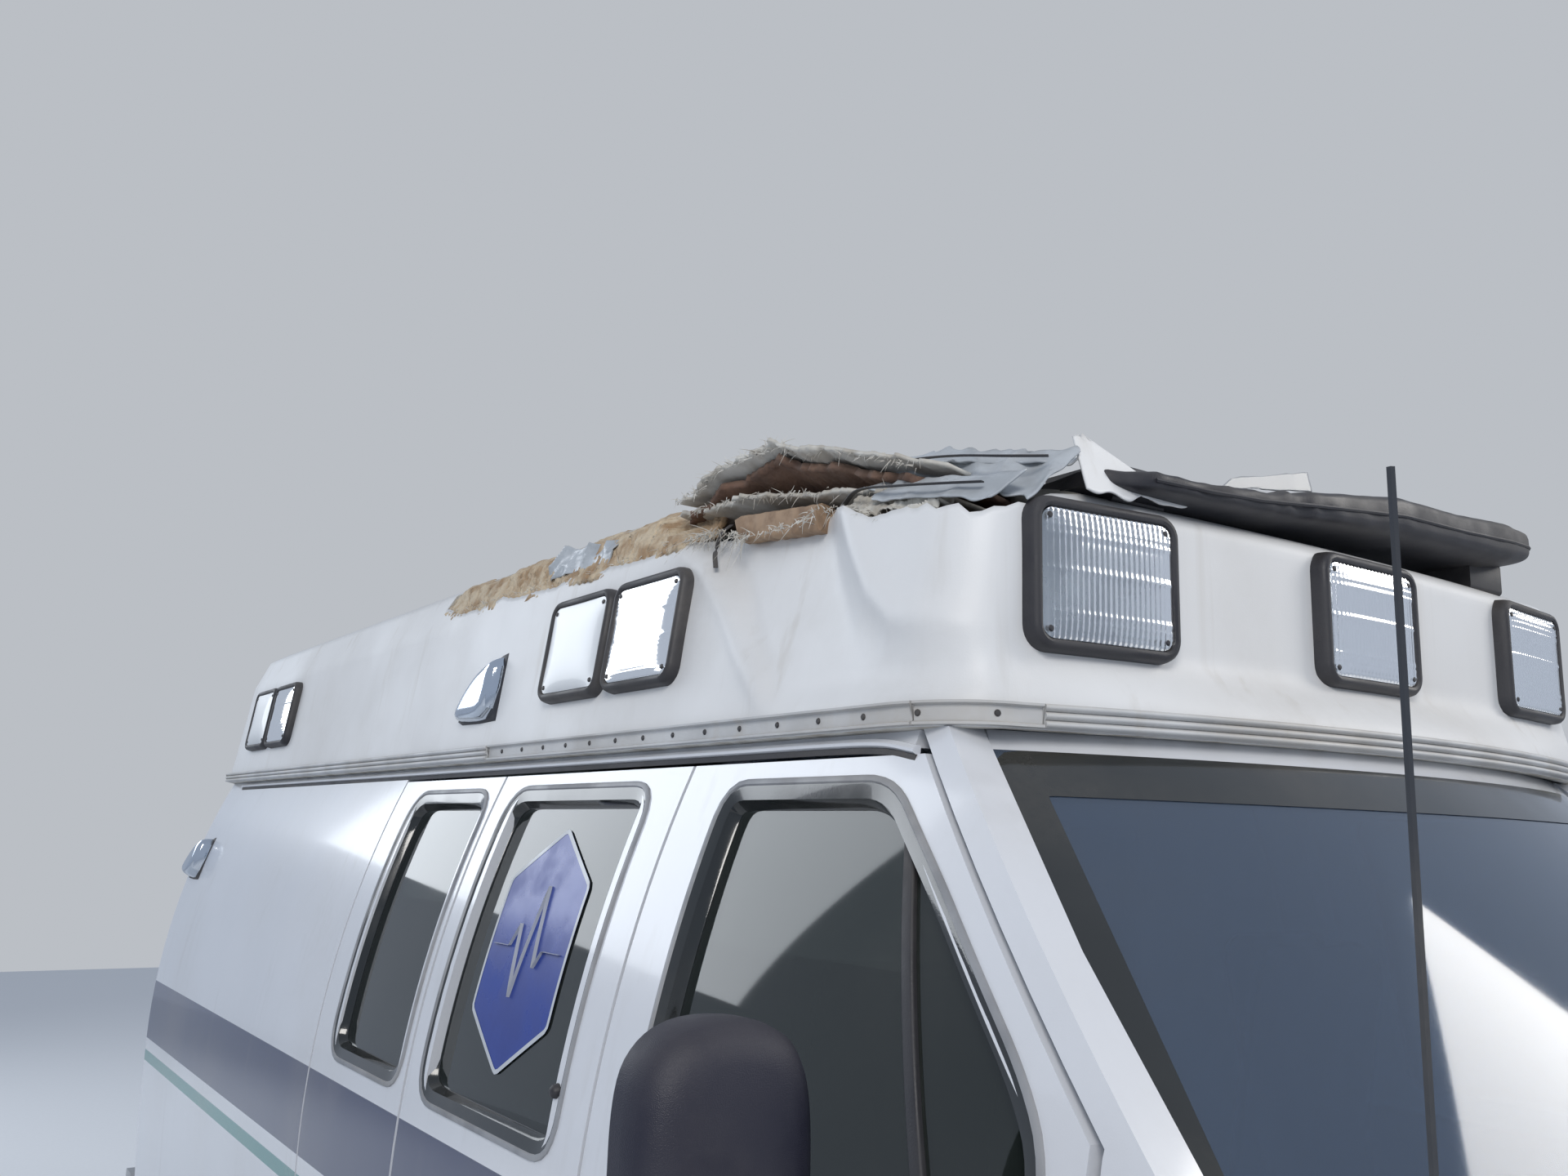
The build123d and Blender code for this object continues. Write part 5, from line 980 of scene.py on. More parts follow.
# Name, depth and size of the folds, seed, finish and four corners
CRUSHED = (
    ("crushed_sheet_top", 0.006, 0.160, 71, TORN_SHEET,
     [(1.075, -0.745, 2.330), (1.375, -0.700, 2.268), (1.385, -0.610, 2.345), (1.110, -0.655, 2.402)]),
    ("crushed_sheet_middle", 0.006, 0.110, 74, TORN_SHEET,
     [(1.120, -0.765, 2.300), (1.345, -0.752, 2.268), (1.370, -0.700, 2.300), (1.130, -0.728, 2.335)]),
    ("crushed_sheet_low", 0.006, 0.040, 77, FIBRE,
     [(1.040, -0.760, 2.300), (1.250, -0.768, 2.262), (1.260, -0.735, 2.292), (1.050, -0.735, 2.322)]),
    ("crushed_slab", 0.005, 0.110, 80, TORN_SHEET,
     [(1.130, -0.690, 2.372), (1.350, -0.640, 2.330), (1.340, -0.560, 2.352), (1.140, -0.600, 2.392)]),
    ("peeled_corner", 0.0012, 0.300, 83, GEL_COAT,
     [(1.400, -0.616, 2.290), (1.392, -0.395, 2.300), (1.366, -0.580, 2.376), (1.366, -0.606, 2.376)]),
    ("peeled_skin", 0.007, 0.120, 86, TORN_SHEET,
     [(-0.020, -0.760, 2.352), (0.270, -0.757, 2.345), (0.285, -0.742, 2.392), (0.010, -0.748, 2.418)]),
)
for name, depth, size, seed, finish, corners in CRUSHED:
    sheet = put(name, crumpled(corners, 64, 30, depth, size, seed), [finish],
                outward=False, sharp=math.radians(24))
    thicken(sheet, 0.003, 0)

EDGINGS = (
    [(1.020, -0.742, 2.318), (1.090, -0.766, 2.325), (1.180, -0.770, 2.312), (1.262, -0.762, 2.300),
     (1.330, -0.742, 2.292)],
    [(1.100, -0.700, 2.376), (1.170, -0.712, 2.366), (1.250, -0.712, 2.352), (1.320, -0.700, 2.338),
     (1.372, -0.660, 2.334)],
    [(0.690, -0.735, 2.350), (0.712, -0.768, 2.325), (0.706, -0.776, 2.292), (0.722, -0.784, 2.262)],
)


def smooth_line(knots, count=28):
    """A curve through a few places: Catmull-Rom, a cubic between each two, whose slopes come from the places
    on either side."""
    knots = np.asarray(knots, float)
    padded = np.concatenate([2 * knots[:1] - knots[1:2], knots, 2 * knots[-1:] - knots[-2:-1]])
    t = np.linspace(0, len(knots) - 1 - 1e-9, count)
    k = t.astype(int)
    f = (t - k)[:, None]
    a, b, c, d = (padded[k + shift] for shift in range(4))
    return 0.5 * (2 * b + (c - a) * f + (2 * a - 5 * b + 4 * c - d) * f ** 2
                  + (3 * b - a - 3 * c + d) * f ** 3)


edging_section = rounded_outline(0.0085, 0.0022, 0.0008, 3)
put("torn_edging", several([bar(smooth_line(knots), edging_section) for knots in EDGINGS]), [BLACK_TRIM])

# %% [markdown]
# ## Moulding, gutters and lamps
#
# A ribbed moulding covers the joint where the roof sits on the van. On the right its insert has come
# out, so that the channel and its row of screws show. The warning lamps are deep black bezels with a
# moulded lens in front of a plated bowl.

# %% Moulding round the foot of the roof
TRIM_LOW, TRIM_HEIGHT, TRIM_OUT = 1.961, 0.033, 0.013
TRIM_CUT, INSERT_GONE, WALL_END_X = 1.288, -0.100, 1.38


def foot_contour():
    """The roof's foot from the right rear, round the front, to the left rear, with places 25 mm apart along
    the walls."""
    t = np.linspace(0, 1, 14)
    corner = cap_point(t, -1 + 0 * t)
    x = np.arange(-2.56, CAP_X - 0.01, 0.025)
    wall = np.stack([x, 0 * x - ROOF_HALF, 0 * x], 1)
    y = np.linspace(corner[-1, 1], 0, 20)[1:]
    front = np.stack([face_x(y, ROOF_SEAT), y, 0 * y], 1)
    half = np.concatenate([wall, corner * (1, 1, 0), front])
    whole = np.concatenate([half, half[-2::-1] * (1, -1, 1)])
    return whole + (0, 0, TRIM_LOW)


def trim_profile(kind):
    """Outline (out, up) of the moulding: three round ribs, or two lips with a low channel between them."""
    t = np.linspace(0, 1, 31)
    if kind == "ribs":
        out = 0.006 + (TRIM_OUT - 0.006) * np.abs(np.sin(3 * math.pi * t)) ** 0.6
    else:
        lip = smooth_step((np.abs(t - 0.5) - 0.30) / 0.06)
        out = 0.0035 + (TRIM_OUT - 0.006) * lip
    out[[0, -1]] = 0.001
    front = np.stack([out, TRIM_HEIGHT * t], 1)
    return np.concatenate([front, [(-0.002, TRIM_HEIGHT), (-0.002, 0)]])


contour = foot_contour()
print("foot of the roof:", len(contour), "places")
run = np.concatenate([[0], np.cumsum(np.linalg.norm(np.diff(contour, axis=0), axis=1))])
on_right_wall = (contour[:, 1] < 0) & (contour[:, 0] < WALL_END_X)
run_gone, run_cut = (float(np.interp(x, contour[on_right_wall, 0], run[on_right_wall]))
                     for x in (INSERT_GONE, TRIM_CUT))
RIBS_AGAIN = 0.175


def stretch(start, end, kind):
    """One length of the moulding between two distances along the contour."""
    places = np.linspace(start, end, int((end - start) / 0.018) + 3)
    path = np.stack([np.interp(places, run, contour[:, k]) for k in range(3)], 1)
    return bar(path, trim_profile(kind))


moulding = several([
    stretch(0, run_gone, "ribs"), stretch(run_gone + 0.001, run_cut, "channel"),
    stretch(run_cut + 0.002, run_cut + RIBS_AGAIN, "channel"),
    stretch(run_cut + RIBS_AGAIN + 0.001, run[-1] - run_cut - 0.002, "ribs"),
    stretch(run[-1] - run_cut, run[-1], "ribs"),
])
put("roof_moulding", moulding, [MOULDING], replaces=["roof_trim"])

SCREW_PITCH = 0.102
screw_head = turned([(0, 0.0032), (0.0032, 0.0028), (0.0046, 0.0012), (0.0048, -0.002)], 12)
screw_run = np.arange(run_gone + 0.07, run_cut + RIBS_AGAIN, SCREW_PITCH)
screw_at = np.stack([np.interp(screw_run, run, contour[:, k]) for k in range(3)], 1)
outward_there = np.stack([np.interp(screw_run, run, frames_along(contour, (0, 0, 1))[0][:, k])
                          for k in range(3)], 1)
screw_places = [(np.stack([np.cross(out, (0, 0, 1)), out, (0, 0, 1)], 1),
                 at + 0.003 * out + (0, 0, TRIM_HEIGHT / 2)) for out, at in zip(outward_there, screw_at)]
put("channel_screws", copies(screw_head, screw_places), [BLACK_TRIM])

# %% Gutters over the doors
SIDE_HALF, SIDE_BELT, SIDE_RADIUS = 1.008, 1.07, 2.062
GUTTER_Z, SHADOW_STRIP_Z = 1.944, 1.934


def side_surface(x, z, side, out=0.0):
    """A point of the van's side: upright below the belt, on a circle above it, moved out along its normal."""
    rise = np.clip(z - SIDE_BELT, 0, None) / SIDE_RADIUS
    upright = np.sqrt(1 - rise ** 2)
    y = SIDE_HALF - SIDE_RADIUS + (SIDE_RADIUS + out) * upright
    return np.stack(np.broadcast_arrays(x, side * y, z + out * rise), -1)


def gutter_line(side, height, out):
    """Along the top of the doors, down by 14 mm at its front end."""
    knots = [(-2.38, height), (-1.2, height), (0.0, height), (0.8, height), (1.10, height),
             (1.22, height - 0.003), (1.295, height - 0.014)]
    line = smooth_line(knots, 60)
    return side_surface(line[:, 0], line[:, 1], side, out)


gutter_profile = np.array([(-0.004, -0.006), (0.004, -0.006), (0.008, -0.003), (0.008, 0.001),
                           (0.003, 0.006), (-0.004, 0.006)])
shadow_profile = np.array([(-0.004, -0.004), (0.0015, -0.004), (0.0015, 0.004), (-0.004, 0.004)])
gutters = several([bar(gutter_line(side, GUTTER_Z, 0.001), gutter_profile * (-side, 1)) for side in (-1, 1)])
put("gutters", gutters, [PAINT])
# Under each gutter a thin black strip paints the shadow that the gutter casts on the side.
gutter_shadow_strips = several([bar(gutter_line(side, SHADOW_STRIP_Z, 0.0), shadow_profile * (-side, 1)) for side in (-1, 1)])
put("gutter_shadow_strips", gutter_shadow_strips, [BLACK_TRIM])

# %% Warning lamps
LAMP_WIDTH, LAMP_HEIGHT, LAMP_BORDER = 0.262, 0.211, 0.017
LAMP_Z, LAMP_CORNER, LENS_CORNER = 2.170, 0.034, 0.020
SIDE_LAMPS = ((0.530, "ribbed"), (0.255, "frosted"), (-1.955, "ribbed"), (-2.225, "frosted"))
FRONT_LAMPS = (-0.572, 0.0, 0.572)
LENS_STEPS = np.linspace(-1, 1, 97)


def square_to_rounded(s, t, width, height, radius):
    """Moves the grid of a rectangle into one with round corners: in each corner square of side r, with parts
    a and b beyond it, a' = a sqrt(1 - b^2 / 2 r^2) and b' = b sqrt(1 - a^2 / 2 r^2)."""
    x, y = s * width / 2, t * height / 2
    a = np.clip(np.abs(x) - (width / 2 - radius), 0, None)
    b = np.clip(np.abs(y) - (height / 2 - radius), 0, None)
    x = x - np.sign(x) * a * (1 - np.sqrt(1 - b ** 2 / (2 * radius ** 2)))
    y = y - np.sign(y) * b * (1 - np.sqrt(1 - a ** 2 / (2 * radius ** 2)))
    return x, y


def lens_sheet(frame_of_lamp, width, height, relief, out=0.019, dome=0.006):
    """The lens: a rounded rectangle bulging by dome (1 - s^4)(1 - t^4), with a relief added to it."""
    origin, across, upward = frame_of_lamp
    s, t = np.meshgrid(LENS_STEPS, LENS_STEPS[::2], indexing="ij")
    x, y = square_to_rounded(s, t, width, height, LENS_CORNER)
    high = out + dome * (1 - s ** 4) * (1 - t ** 4) + relief(s, t)
    normal = np.cross(across, upward)
    return grid(origin + x[..., None] * across + y[..., None] * upward + high[..., None] * normal)


def fluted(s, t):
    """Fine upright flutes, with level ones near the top and the bottom and one level ridge between them."""
    upright = 0.0008 * np.abs(np.sin(12 * math.pi * s))
    level = 0.0012 * np.abs(np.sin(9 * math.pi * t)) * (np.abs(t) > 0.55)
    level = level + 0.0016 * np.exp(-((t - 0.05) / 0.03) ** 2)
    return upright + level


def ribbed(s, t):
    """Level ribs above and below a smooth middle."""
    return 0.0012 * np.abs(np.sin(11 * math.pi * t)) * (np.abs(t - 0.1) > 0.25) + 0 * s


def smooth_face(s, t):
    """A frosted lens: nearly flat, a wave of 0.4 mm whose top is in the middle."""
    return 0.0004 * np.cos(3 * s) * np.cos(3 * t)


def lamp_frames():
    """Each warning lamp: its middle on the roof, direction across, direction up, and the kind of its lens."""
    lean = math.hypot(1, ROOF_LEAN)
    rows = []
    for side in (-1, 1):
        upward = np.array([0, -side * ROOF_LEAN, 1]) / lean
        across = np.array([-side, 0, 0.0])
        for x, kind in SIDE_LAMPS:
            y = ROOF_HALF - ROOF_LEAN * (LAMP_Z - ROOF_SEAT)
            rows.append((np.array([x, side * y, LAMP_Z]), across, upward, kind))
    for y in FRONT_LAMPS:
        slope = -2 * (FACE_MIDDLE_X - FACE_CORNER_X) * y / ROOF_HALF ** 2
        across = np.array([slope, 1, 0.0]) / math.hypot(1, slope)
        middle = np.array([float(face_x(y, LAMP_Z)), y, LAMP_Z])
        rows.append((middle, across, np.array([0, 0, 1.0]), "fluted"))
    return rows


BEZEL_RINGS = ((-0.001, -0.004), (0.0, 0.010), (0.002, 0.018), (0.006, 0.0225), (0.011, 0.0235),
               (0.015, 0.0215), (0.017, 0.016), (0.018, 0.004))
BOWL = [(0.020, 0.002), (0.045, 0.0035), (0.066, 0.0075), (0.078, 0.0125), (0.0785, 0.0135)]


def lamp_parts(lamp):
    """Bezel, tray, plated bowl, bulb, four screws, lens and strip of one lamp, each as points and faces."""
    origin, across, upward, kind = lamp
    normal = np.cross(across, upward)
    turn = np.stack([across, normal, upward], 1)
    bezel = plate(origin, across, upward, LAMP_WIDTH, LAMP_HEIGHT, LAMP_CORNER, BEZEL_RINGS, 8)
    inner_w, inner_h = LAMP_WIDTH - 2 * LAMP_BORDER, LAMP_HEIGHT - 2 * LAMP_BORDER
    tray = plate(origin, across, upward, inner_w, inner_h, LENS_CORNER,
                 ((0, 0.018), (0.006, 0.0075), (0.012, 0.006)), 6)
    bowl = turned(BOWL, 48)
    bulb = turned([(0, 0.016), (0.006, 0.0145), (0.009, 0.010), (0.009, 0.003)], 20)
    at = origin - 0.022 * upward
    screw_x, screw_z = inner_w / 2 - 0.012, inner_h / 2 - 0.012
    screws = [(turn, origin + sx * screw_x * across + sz * screw_z * upward + 0.020 * normal)
              for sx in (-1, 1) for sz in (-1, 1)]
    relief = {"fluted": fluted, "ribbed": ribbed, "frosted": smooth_face}[kind]
    lens = lens_sheet((origin, across, upward), inner_w, inner_h, relief)
    strip = plate(origin - 0.062 * upward, across, upward, inner_w * 0.86, 0.022, 0.004,
                  ((0, 0.008), (0.002, 0.013)), 3)
    bowl, bulb = (copies(part, [(turn, at)]) for part in (bowl, bulb))
    return bezel, tray, bowl, bulb, copies(screw_head, screws), lens, strip


LAMP_CREAM = weathered("lamp_cream", (0.52, 0.46, 0.36), None, (0.4, 0.6), dust=0.2)
BULB_GLASS = weathered("bulb_glass", (0.80, 0.82, 0.84), None, (0.05, 0.2), dust=0.05)
# What lamp_parts gives first, in its order: name, finish and slot
LAMP_PIECES = (("bezels", BLACK_TRIM, "lamp_clear"), ("trays", PLATING_GREY, "bright_metal"),
               ("bowls", CHROME, "bright_metal"), ("bulbs", BULB_GLASS, "lamp_clear"),
               ("screws", BLACK_TRIM, "mirror_black"))
lamps = lamp_frames()
print("warning lamps:", len(lamps))
for group, node, members in (("side", "side_warning_lamps", lamps[:8]),
                             ("front", "front_warning_lamps", lamps[8:])):
    parts = [lamp_parts(lamp) for lamp in members]
    clear = [part[5] for part, lamp in zip(parts, members) if lamp[3] != "frosted"]
    milky = [part[5] for part, lamp in zip(parts, members) if lamp[3] == "frosted"]
    for number, (word, finish, slot) in enumerate(LAMP_PIECES):
        put(f"{group}_lamp_{word}", several([part[number] for part in parts]), [finish],
            replaces=[node] if word == "bezels" else (), outward=word != "bowls")
    put(group + "_lamp_lenses", several(clear), [CLEAR_LENS], outward=False, sharp=math.pi)
    if milky:
        put(group + "_milky_lenses", several(milky), [FROSTED_LENS], outward=False,
            sharp=math.pi)
    if group == "front":
        put("front_lamp_strips", several([part[6] for part in parts]), [LAMP_CREAM])

# %% Scoops
SCOOP_OUTLINE = np.array([(0.000, 0.000), (0.000, 1.000), (-0.10, 0.985), (-0.34, 0.90), (-0.58, 0.72),
                          (-0.80, 0.46), (-0.95, 0.20), (-1.000, 0.06), (-0.86, 0.00), (-0.40, -0.015)])
# Share of the way out from the wall, and how far the outline is drawn in there
SCOOP_RINGS = ((-0.05, 0.0), (0.10, 0.0), (0.45, 0.05), (0.80, 0.16), (0.96, 0.32), (1.0, 0.55), (1.0, 1.0))


def scoop(front_x, low_z, length, height, out, side, wall):
    """A fin scoop: its side view, drawn in towards a point behind the front lip as it leaves the wall."""
    view = SCOOP_OUTLINE * (length, height) + (front_x, low_z)
    middle = np.array([front_x - 0.30 * length, low_z + 0.42 * height])
    rows = []
    for share, drawn_in in SCOOP_RINGS:
        ring = view + (middle - view) * drawn_in
        rows.append(wall(ring[:, 0], ring[:, 1], side, share * out))
    return grid(np.stack(rows), close_columns=True)


def lean_wall(x, z, side, out):
    """A point of the roof's leaning wall, moved straight out."""
    y = ROOF_HALF - ROOF_LEAN * (z - ROOF_SEAT) + out
    return np.stack(np.broadcast_arrays(x, side * y, z), -1)


# Front, underside, length, height, how far out, and the wall that it stands on
SCOOPS = ((-0.120, 2.052, 0.215, 0.142, 0.034, lean_wall), (-2.380, 1.624, 0.165, 0.135, 0.045, side_surface))
fins = several([scoop(*values[:5], side, values[5]) for values in SCOOPS for side in (-1, 1)])
fin_piece = put("scoop_fins", fins, [CHROME], replaces=["roof_vents"],
                sharp=math.radians(60))
smoother = fin_piece.modifiers.new("round", "SUBSURF")
smoother.levels = smoother.render_levels = 1
bases = several([scoop(front + 0.004, low - 0.004, length + 0.008, height + 0.008, 0.005, side, wall)
                 for front, low, length, height, _, wall in SCOOPS for side in (-1, 1)])
put("scoop_bases", bases, [BLACK_TRIM])

# %% [markdown]
# ## Light bar
#
# The bar is bent and crushed: it is thin and broken at its right end, thick at its left end, and its
# end cap points up and out. A broken lens with its posts is left on the middle of its right half.

# %% Light bar's shell
# From right to left: y, top height, underside height, front, rear
BAR_ROWS = np.array([
    (-0.585, 2.332, 2.308, 1.375, 1.255), (-0.520, 2.338, 2.302, 1.420, 1.225),
    (-0.400, 2.336, 2.302, 1.434, 1.205), (-0.280, 2.346, 2.306, 1.436, 1.203),
    (-0.160, 2.366, 2.313, 1.437, 1.203), (-0.030, 2.384, 2.322, 1.438, 1.203),
    (0.100, 2.402, 2.330, 1.438, 1.203), (0.280, 2.403, 2.334, 1.438, 1.203),
    (0.450, 2.414, 2.338, 1.437, 1.204), (0.530, 2.411, 2.348, 1.426, 1.212),
    (0.580, 2.402, 2.366, 1.400, 1.235), (0.604, 2.392, 2.382, 1.350, 1.285),
])


def bar_value(y, column):
    """One column of the light bar's rows, at a place across."""
    return np.interp(y, BAR_ROWS[:, 0], BAR_ROWS[:, column])


def bar_shell(columns=90, crush=0.004):
    """Sections in the x-z plane along y: a rounded box between the heights, x = middle + half cos^0.35 t and
    z = middle + half sin^0.45 t, pushed in by noise that is stronger at the crushed right end."""
    y = np.linspace(BAR_ROWS[0, 0], BAR_ROWS[-1, 0], columns)
    top, low, front, rear = (bar_value(y, column)[:, None] for column in (1, 2, 3, 4))
    t = np.linspace(0, 2 * math.pi, 40, endpoint=False)[None]
    c, s = np.cos(t), np.sin(t)
    x = (front + rear) / 2 + (front - rear) / 2 * np.sign(c) * np.abs(c) ** 0.35
    z = (top + low) / 2 + (top - low) / 2 * np.sign(s) * np.abs(s) ** 0.45
    hurt = crush * (0.25 + smooth_step((0.15 - y) / 0.5))[:, None]
    z = z - hurt * np.abs(smooth_noise(x + 0 * z, y[:, None] + 0 * z, 91, 0.16)) * (s > 0)
    x = x - hurt * 1.5 * np.abs(smooth_noise(y[:, None] + 0 * z, z, 92, 0.12)) * (c > 0)
    points = np.stack(np.broadcast_arrays(x, y[:, None], z), -1)
    caps = [np.broadcast_to(points[k].mean(0), points[k].shape)[None] for k in (0, -1)]
    return grid(np.concatenate([caps[0], points, caps[1]]), close_columns=True)


put("light_bar_shell", bar_shell(), [BLACK_TRIM], replaces=["light_bar"],
    sharp=math.radians(48))
seam_y = np.linspace(-0.50, 0.56, 60)
seam_z = 0.45 * bar_value(seam_y, 1) + 0.55 * bar_value(seam_y, 2)
seam_line = np.stack([bar_value(seam_y, 3) - 0.001, seam_y, seam_z], 1)
put("light_bar_seam", rod(seam_line, 0.0032, 6), [BLACK_TRIM])

BROKEN_LENS = [(1.400, -0.330, 2.342), (1.400, -0.100, 2.376), (1.396, -0.105, 2.408), (1.396, -0.300, 2.362)]
BEHIND = [(x - 0.12, y, z) for x, y, z in BROKEN_LENS]
for name, corners, depth, seed, ragged_rim in (("bar_lens_scrap", BROKEN_LENS, 0.0006, 93, 0.004),
                                               ("bar_lens_rear", BEHIND, 0.001, 95, 0.006)):
    scrap = put(name, crumpled(corners, 50, 18, depth, 0.30, seed, ragged_rim), [FROSTED_LENS],
                outward=False)
    thicken(scrap, 0.0025, 0)
posts = []
for y, tall in ((-0.268, 0.030), (-0.262, 0.026), (-0.168, 0.034), (-0.160, 0.030), (-0.085, 0.022)):
    foot = float(bar_value(y, 1)) - 0.006
    posts.append(rod([(1.385, y, foot), (1.384, y + 0.001, foot + tall / 2),
                      (1.381, y + 0.003, foot + tall)], 0.0026, 8))
put("bar_posts", several(posts), [BLACK_TRIM])
feet = [plate((1.300, y, 2.325), (1, 0, 0), (0, 0, 1), 0.130, 0.060, 0.008, ((0, -0.055), (0, 0.055)), 4)
        for y in (0.485, -0.470)]
put("bar_feet", several(feet), [BLACK_TRIM])

# %% [markdown]
# ## Glazing
#
# Each side window is bonded glass with a pale gasket and a dark painted border. The outlines are
# drawn flat, as x and z, and a formula for the van's side lays them on its curve.


# %% Outlines and frames
def rounded_polygon(corners, radius, spacing=0.02):
    """A closed outline whose corners are curves (1-t)^2 a + 2t(1-t) c + t^2 b, with its points spaced
    evenly along it."""
    corner = np.asarray(corners, float)
    before, after = np.roll(corner, 1, 0) - corner, np.roll(corner, -1, 0) - corner
    lengths = [np.linalg.norm(part, axis=1, keepdims=True) for part in (before, after)]
    a = corner + before / lengths[0] * np.minimum(radius, 0.48 * lengths[0])
    b = corner + after / lengths[1] * np.minimum(radius, 0.48 * lengths[1])
    t = np.linspace(0, 1, 9)[None, :, None]
    curve = (1 - t) ** 2 * a[:, None] + 2 * t * (1 - t) * corner[:, None] + t ** 2 * b[:, None]
    curve = curve.reshape(-1, 2)
    closed = np.concatenate([curve, curve[:1]])
    run = np.concatenate([[0], np.cumsum(np.linalg.norm(np.diff(closed, axis=0), axis=1))])
    places = np.linspace(0, run[-1], int(run[-1] / spacing) + 1)[:-1]
    return np.stack([np.interp(places, run, closed[:, k]) for k in (0, 1)], 1)


def inset(outline, distance):
    """The outline moved inwards along its normals."""
    run = np.roll(outline, -1, 0) - np.roll(outline, 1, 0)
    normal = np.stack([-run[:, 1], run[:, 0]], 1) / np.linalg.norm(run, axis=1, keepdims=True)
    area = np.sum(outline[:, 0] * np.roll(outline[:, 1], -1) - np.roll(outline[:, 0], -1) * outline[:, 1])
    return outline + np.sign(area) * normal * distance


def framed(outline, rings, surface):
    """A closed band on a surface: each ring is (inset, out), and surface(first, second, out) lays it down."""
    rows = [surface(*inset(outline, away).T, out) for away, out in rings]
    return grid(np.stack(rows), close_columns=True)


GASKET_RINGS = ((-0.006, -0.001), (-0.005, 0.003), (-0.001, 0.0045), (0.003, 0.004), (0.005, 0.001))
BORDER_RINGS = ((0.003, 0.0015), (0.008, 0.001), (0.024, -0.003), (0.030, -0.0195), (0.032, -0.0215))
GLOSS_BLACK = weathered("painted_border", (0.010, 0.013, 0.014), None, (0.06, 0.2), dust=0.06,
                        Coat_Weight=0.5)
GASKET_GREY = weathered("gasket_grey", (0.30, 0.31, 0.33), (0.20, 0.21, 0.23), (0.4, 0.6), dust=0.2)
FRONT_WINDOW = [(0.872, 1.314), (0.872, 1.894), (1.268, 1.894), (1.420, 1.764), (1.600, 1.590),
                (1.646, 1.520), (1.646, 1.314)]


def on_side(side):
    """One side of the van as a function of x, z and how far out."""
    return lambda x, z, out: side_surface(x, z, side, out)


def upright_window(rear, front, low, high):
    """Corners of a window with upright ends, as x and z."""
    return [(rear, low), (rear, high), (front, high), (front, low)]


# Each side window: name, body, side, corner radius and corners as x and z
SIDE_WINDOWS = (
    ("window_front_door", "door_front_right", -1, 0.055, FRONT_WINDOW),
    ("window_left_door", "door_front_left", 1, 0.055, FRONT_WINDOW),
    ("window_side_front", "door_side_front", -1, 0.075, upright_window(0.060, 0.650, 1.316, 1.898)),
    ("window_side_rear", "door_side_rear", -1, 0.075, upright_window(-0.505, -0.046, 1.314, 1.896)),
)
for name, body, side, radius, corners in SIDE_WINDOWS:
    shape = rounded_polygon(corners, radius)
    put(name + "_gasket", framed(shape, GASKET_RINGS, on_side(side)), [GASKET_GREY], body=body)
    put(name + "_border", framed(shape, BORDER_RINGS, on_side(side)), [GLOSS_BLACK], body=body)

VENT_BAR = rounded_outline(0.014, 0.020, 0.004, 4)
for side, name in ((-1, "right"), (1, "left")):
    z = np.linspace(1.330, 1.832, 24)
    bar_line = side_surface(1.315 + 0.386 * (1.825 - z), z, side, -0.021)
    put("vent_bar_" + name, bar(bar_line, VENT_BAR, (1, 0, 0)), [BLACK_TRIM], body="door_front_" + name)

# %% Emblem and latch on the side window
EMBLEM_BLUE = weathered("emblem_blue", (0.012, 0.045, 0.30), (0.010, 0.035, 0.24), (0.2, 0.4), dust=0.08)
EMBLEM_PALE = weathered("emblem_pale", (0.55, 0.58, 0.62), None, (0.3, 0.5), dust=0.08)
EMBLEM_AT = np.array([0.345, 1.615])
hexagon = EMBLEM_AT + np.array([(0.0, 0.215), (0.165, 0.120), (0.165, -0.120), (0.0, -0.215),
                                (-0.165, -0.120), (-0.165, 0.120)])


def emblem_disc(outline, out):
    """A flat sticker inside an outline: the outline drawn in to its middle in steps, laid on the glass."""
    middle = outline.mean(0)
    rows = [side_surface(*(middle + (outline - middle) * share).T, -1, out)
            for share in np.linspace(1, 0, 12)]
    return grid(np.stack(rows), close_columns=True)


emblem_outline = rounded_polygon(hexagon, 0.012, 0.012)
PULSE = np.array([(-0.140, 0.0), (-0.070, 0.0), (-0.045, 0.040), (-0.015, -0.085), (0.020, 0.110),
                  (0.050, -0.030), (0.070, 0.0), (0.140, 0.0)])
pulse = np.concatenate([np.linspace(a, b, 8)[:-1] for a, b in zip(PULSE, PULSE[1:])] + [PULSE[-1:]])
pulse_line = on_side(-1)(*(pulse + EMBLEM_AT).T, -0.0188)
stroke = sweep(pulse_line, [(0.0, -0.006), (0.0, 0.006)], (0, 1, 0), close_profile=False)
rim = framed(emblem_outline, ((0.0, -0.0190), (0.008, -0.0190)), on_side(-1))
for name, part, finish in (("emblem_field", emblem_disc(emblem_outline, -0.0195), EMBLEM_BLUE),
                           ("emblem_rim", rim, EMBLEM_PALE), ("emblem_pulse", stroke, EMBLEM_PALE)):
    put(name, part, [finish], body="door_side_front", outward=False)
latch = turned([(0, 0.012), (0.006, 0.011), (0.010, 0.007), (0.012, -0.002)], 20)
latch_at = side_surface(np.array([0.628]), np.array([1.420]), -1, 0.0)[0]
put("window_latch", copies(latch, [(np.diag([1.0, -1.0, 1.0]), latch_at)]), [BLACK_TRIM],
    body="door_side_front")

# %% [markdown]
# ## Windscreen
#
# The screen is a sheet bent round one axis that runs up its slope. Its painted border and the wipers
# follow the same formula, moved out along the sheet's normal.

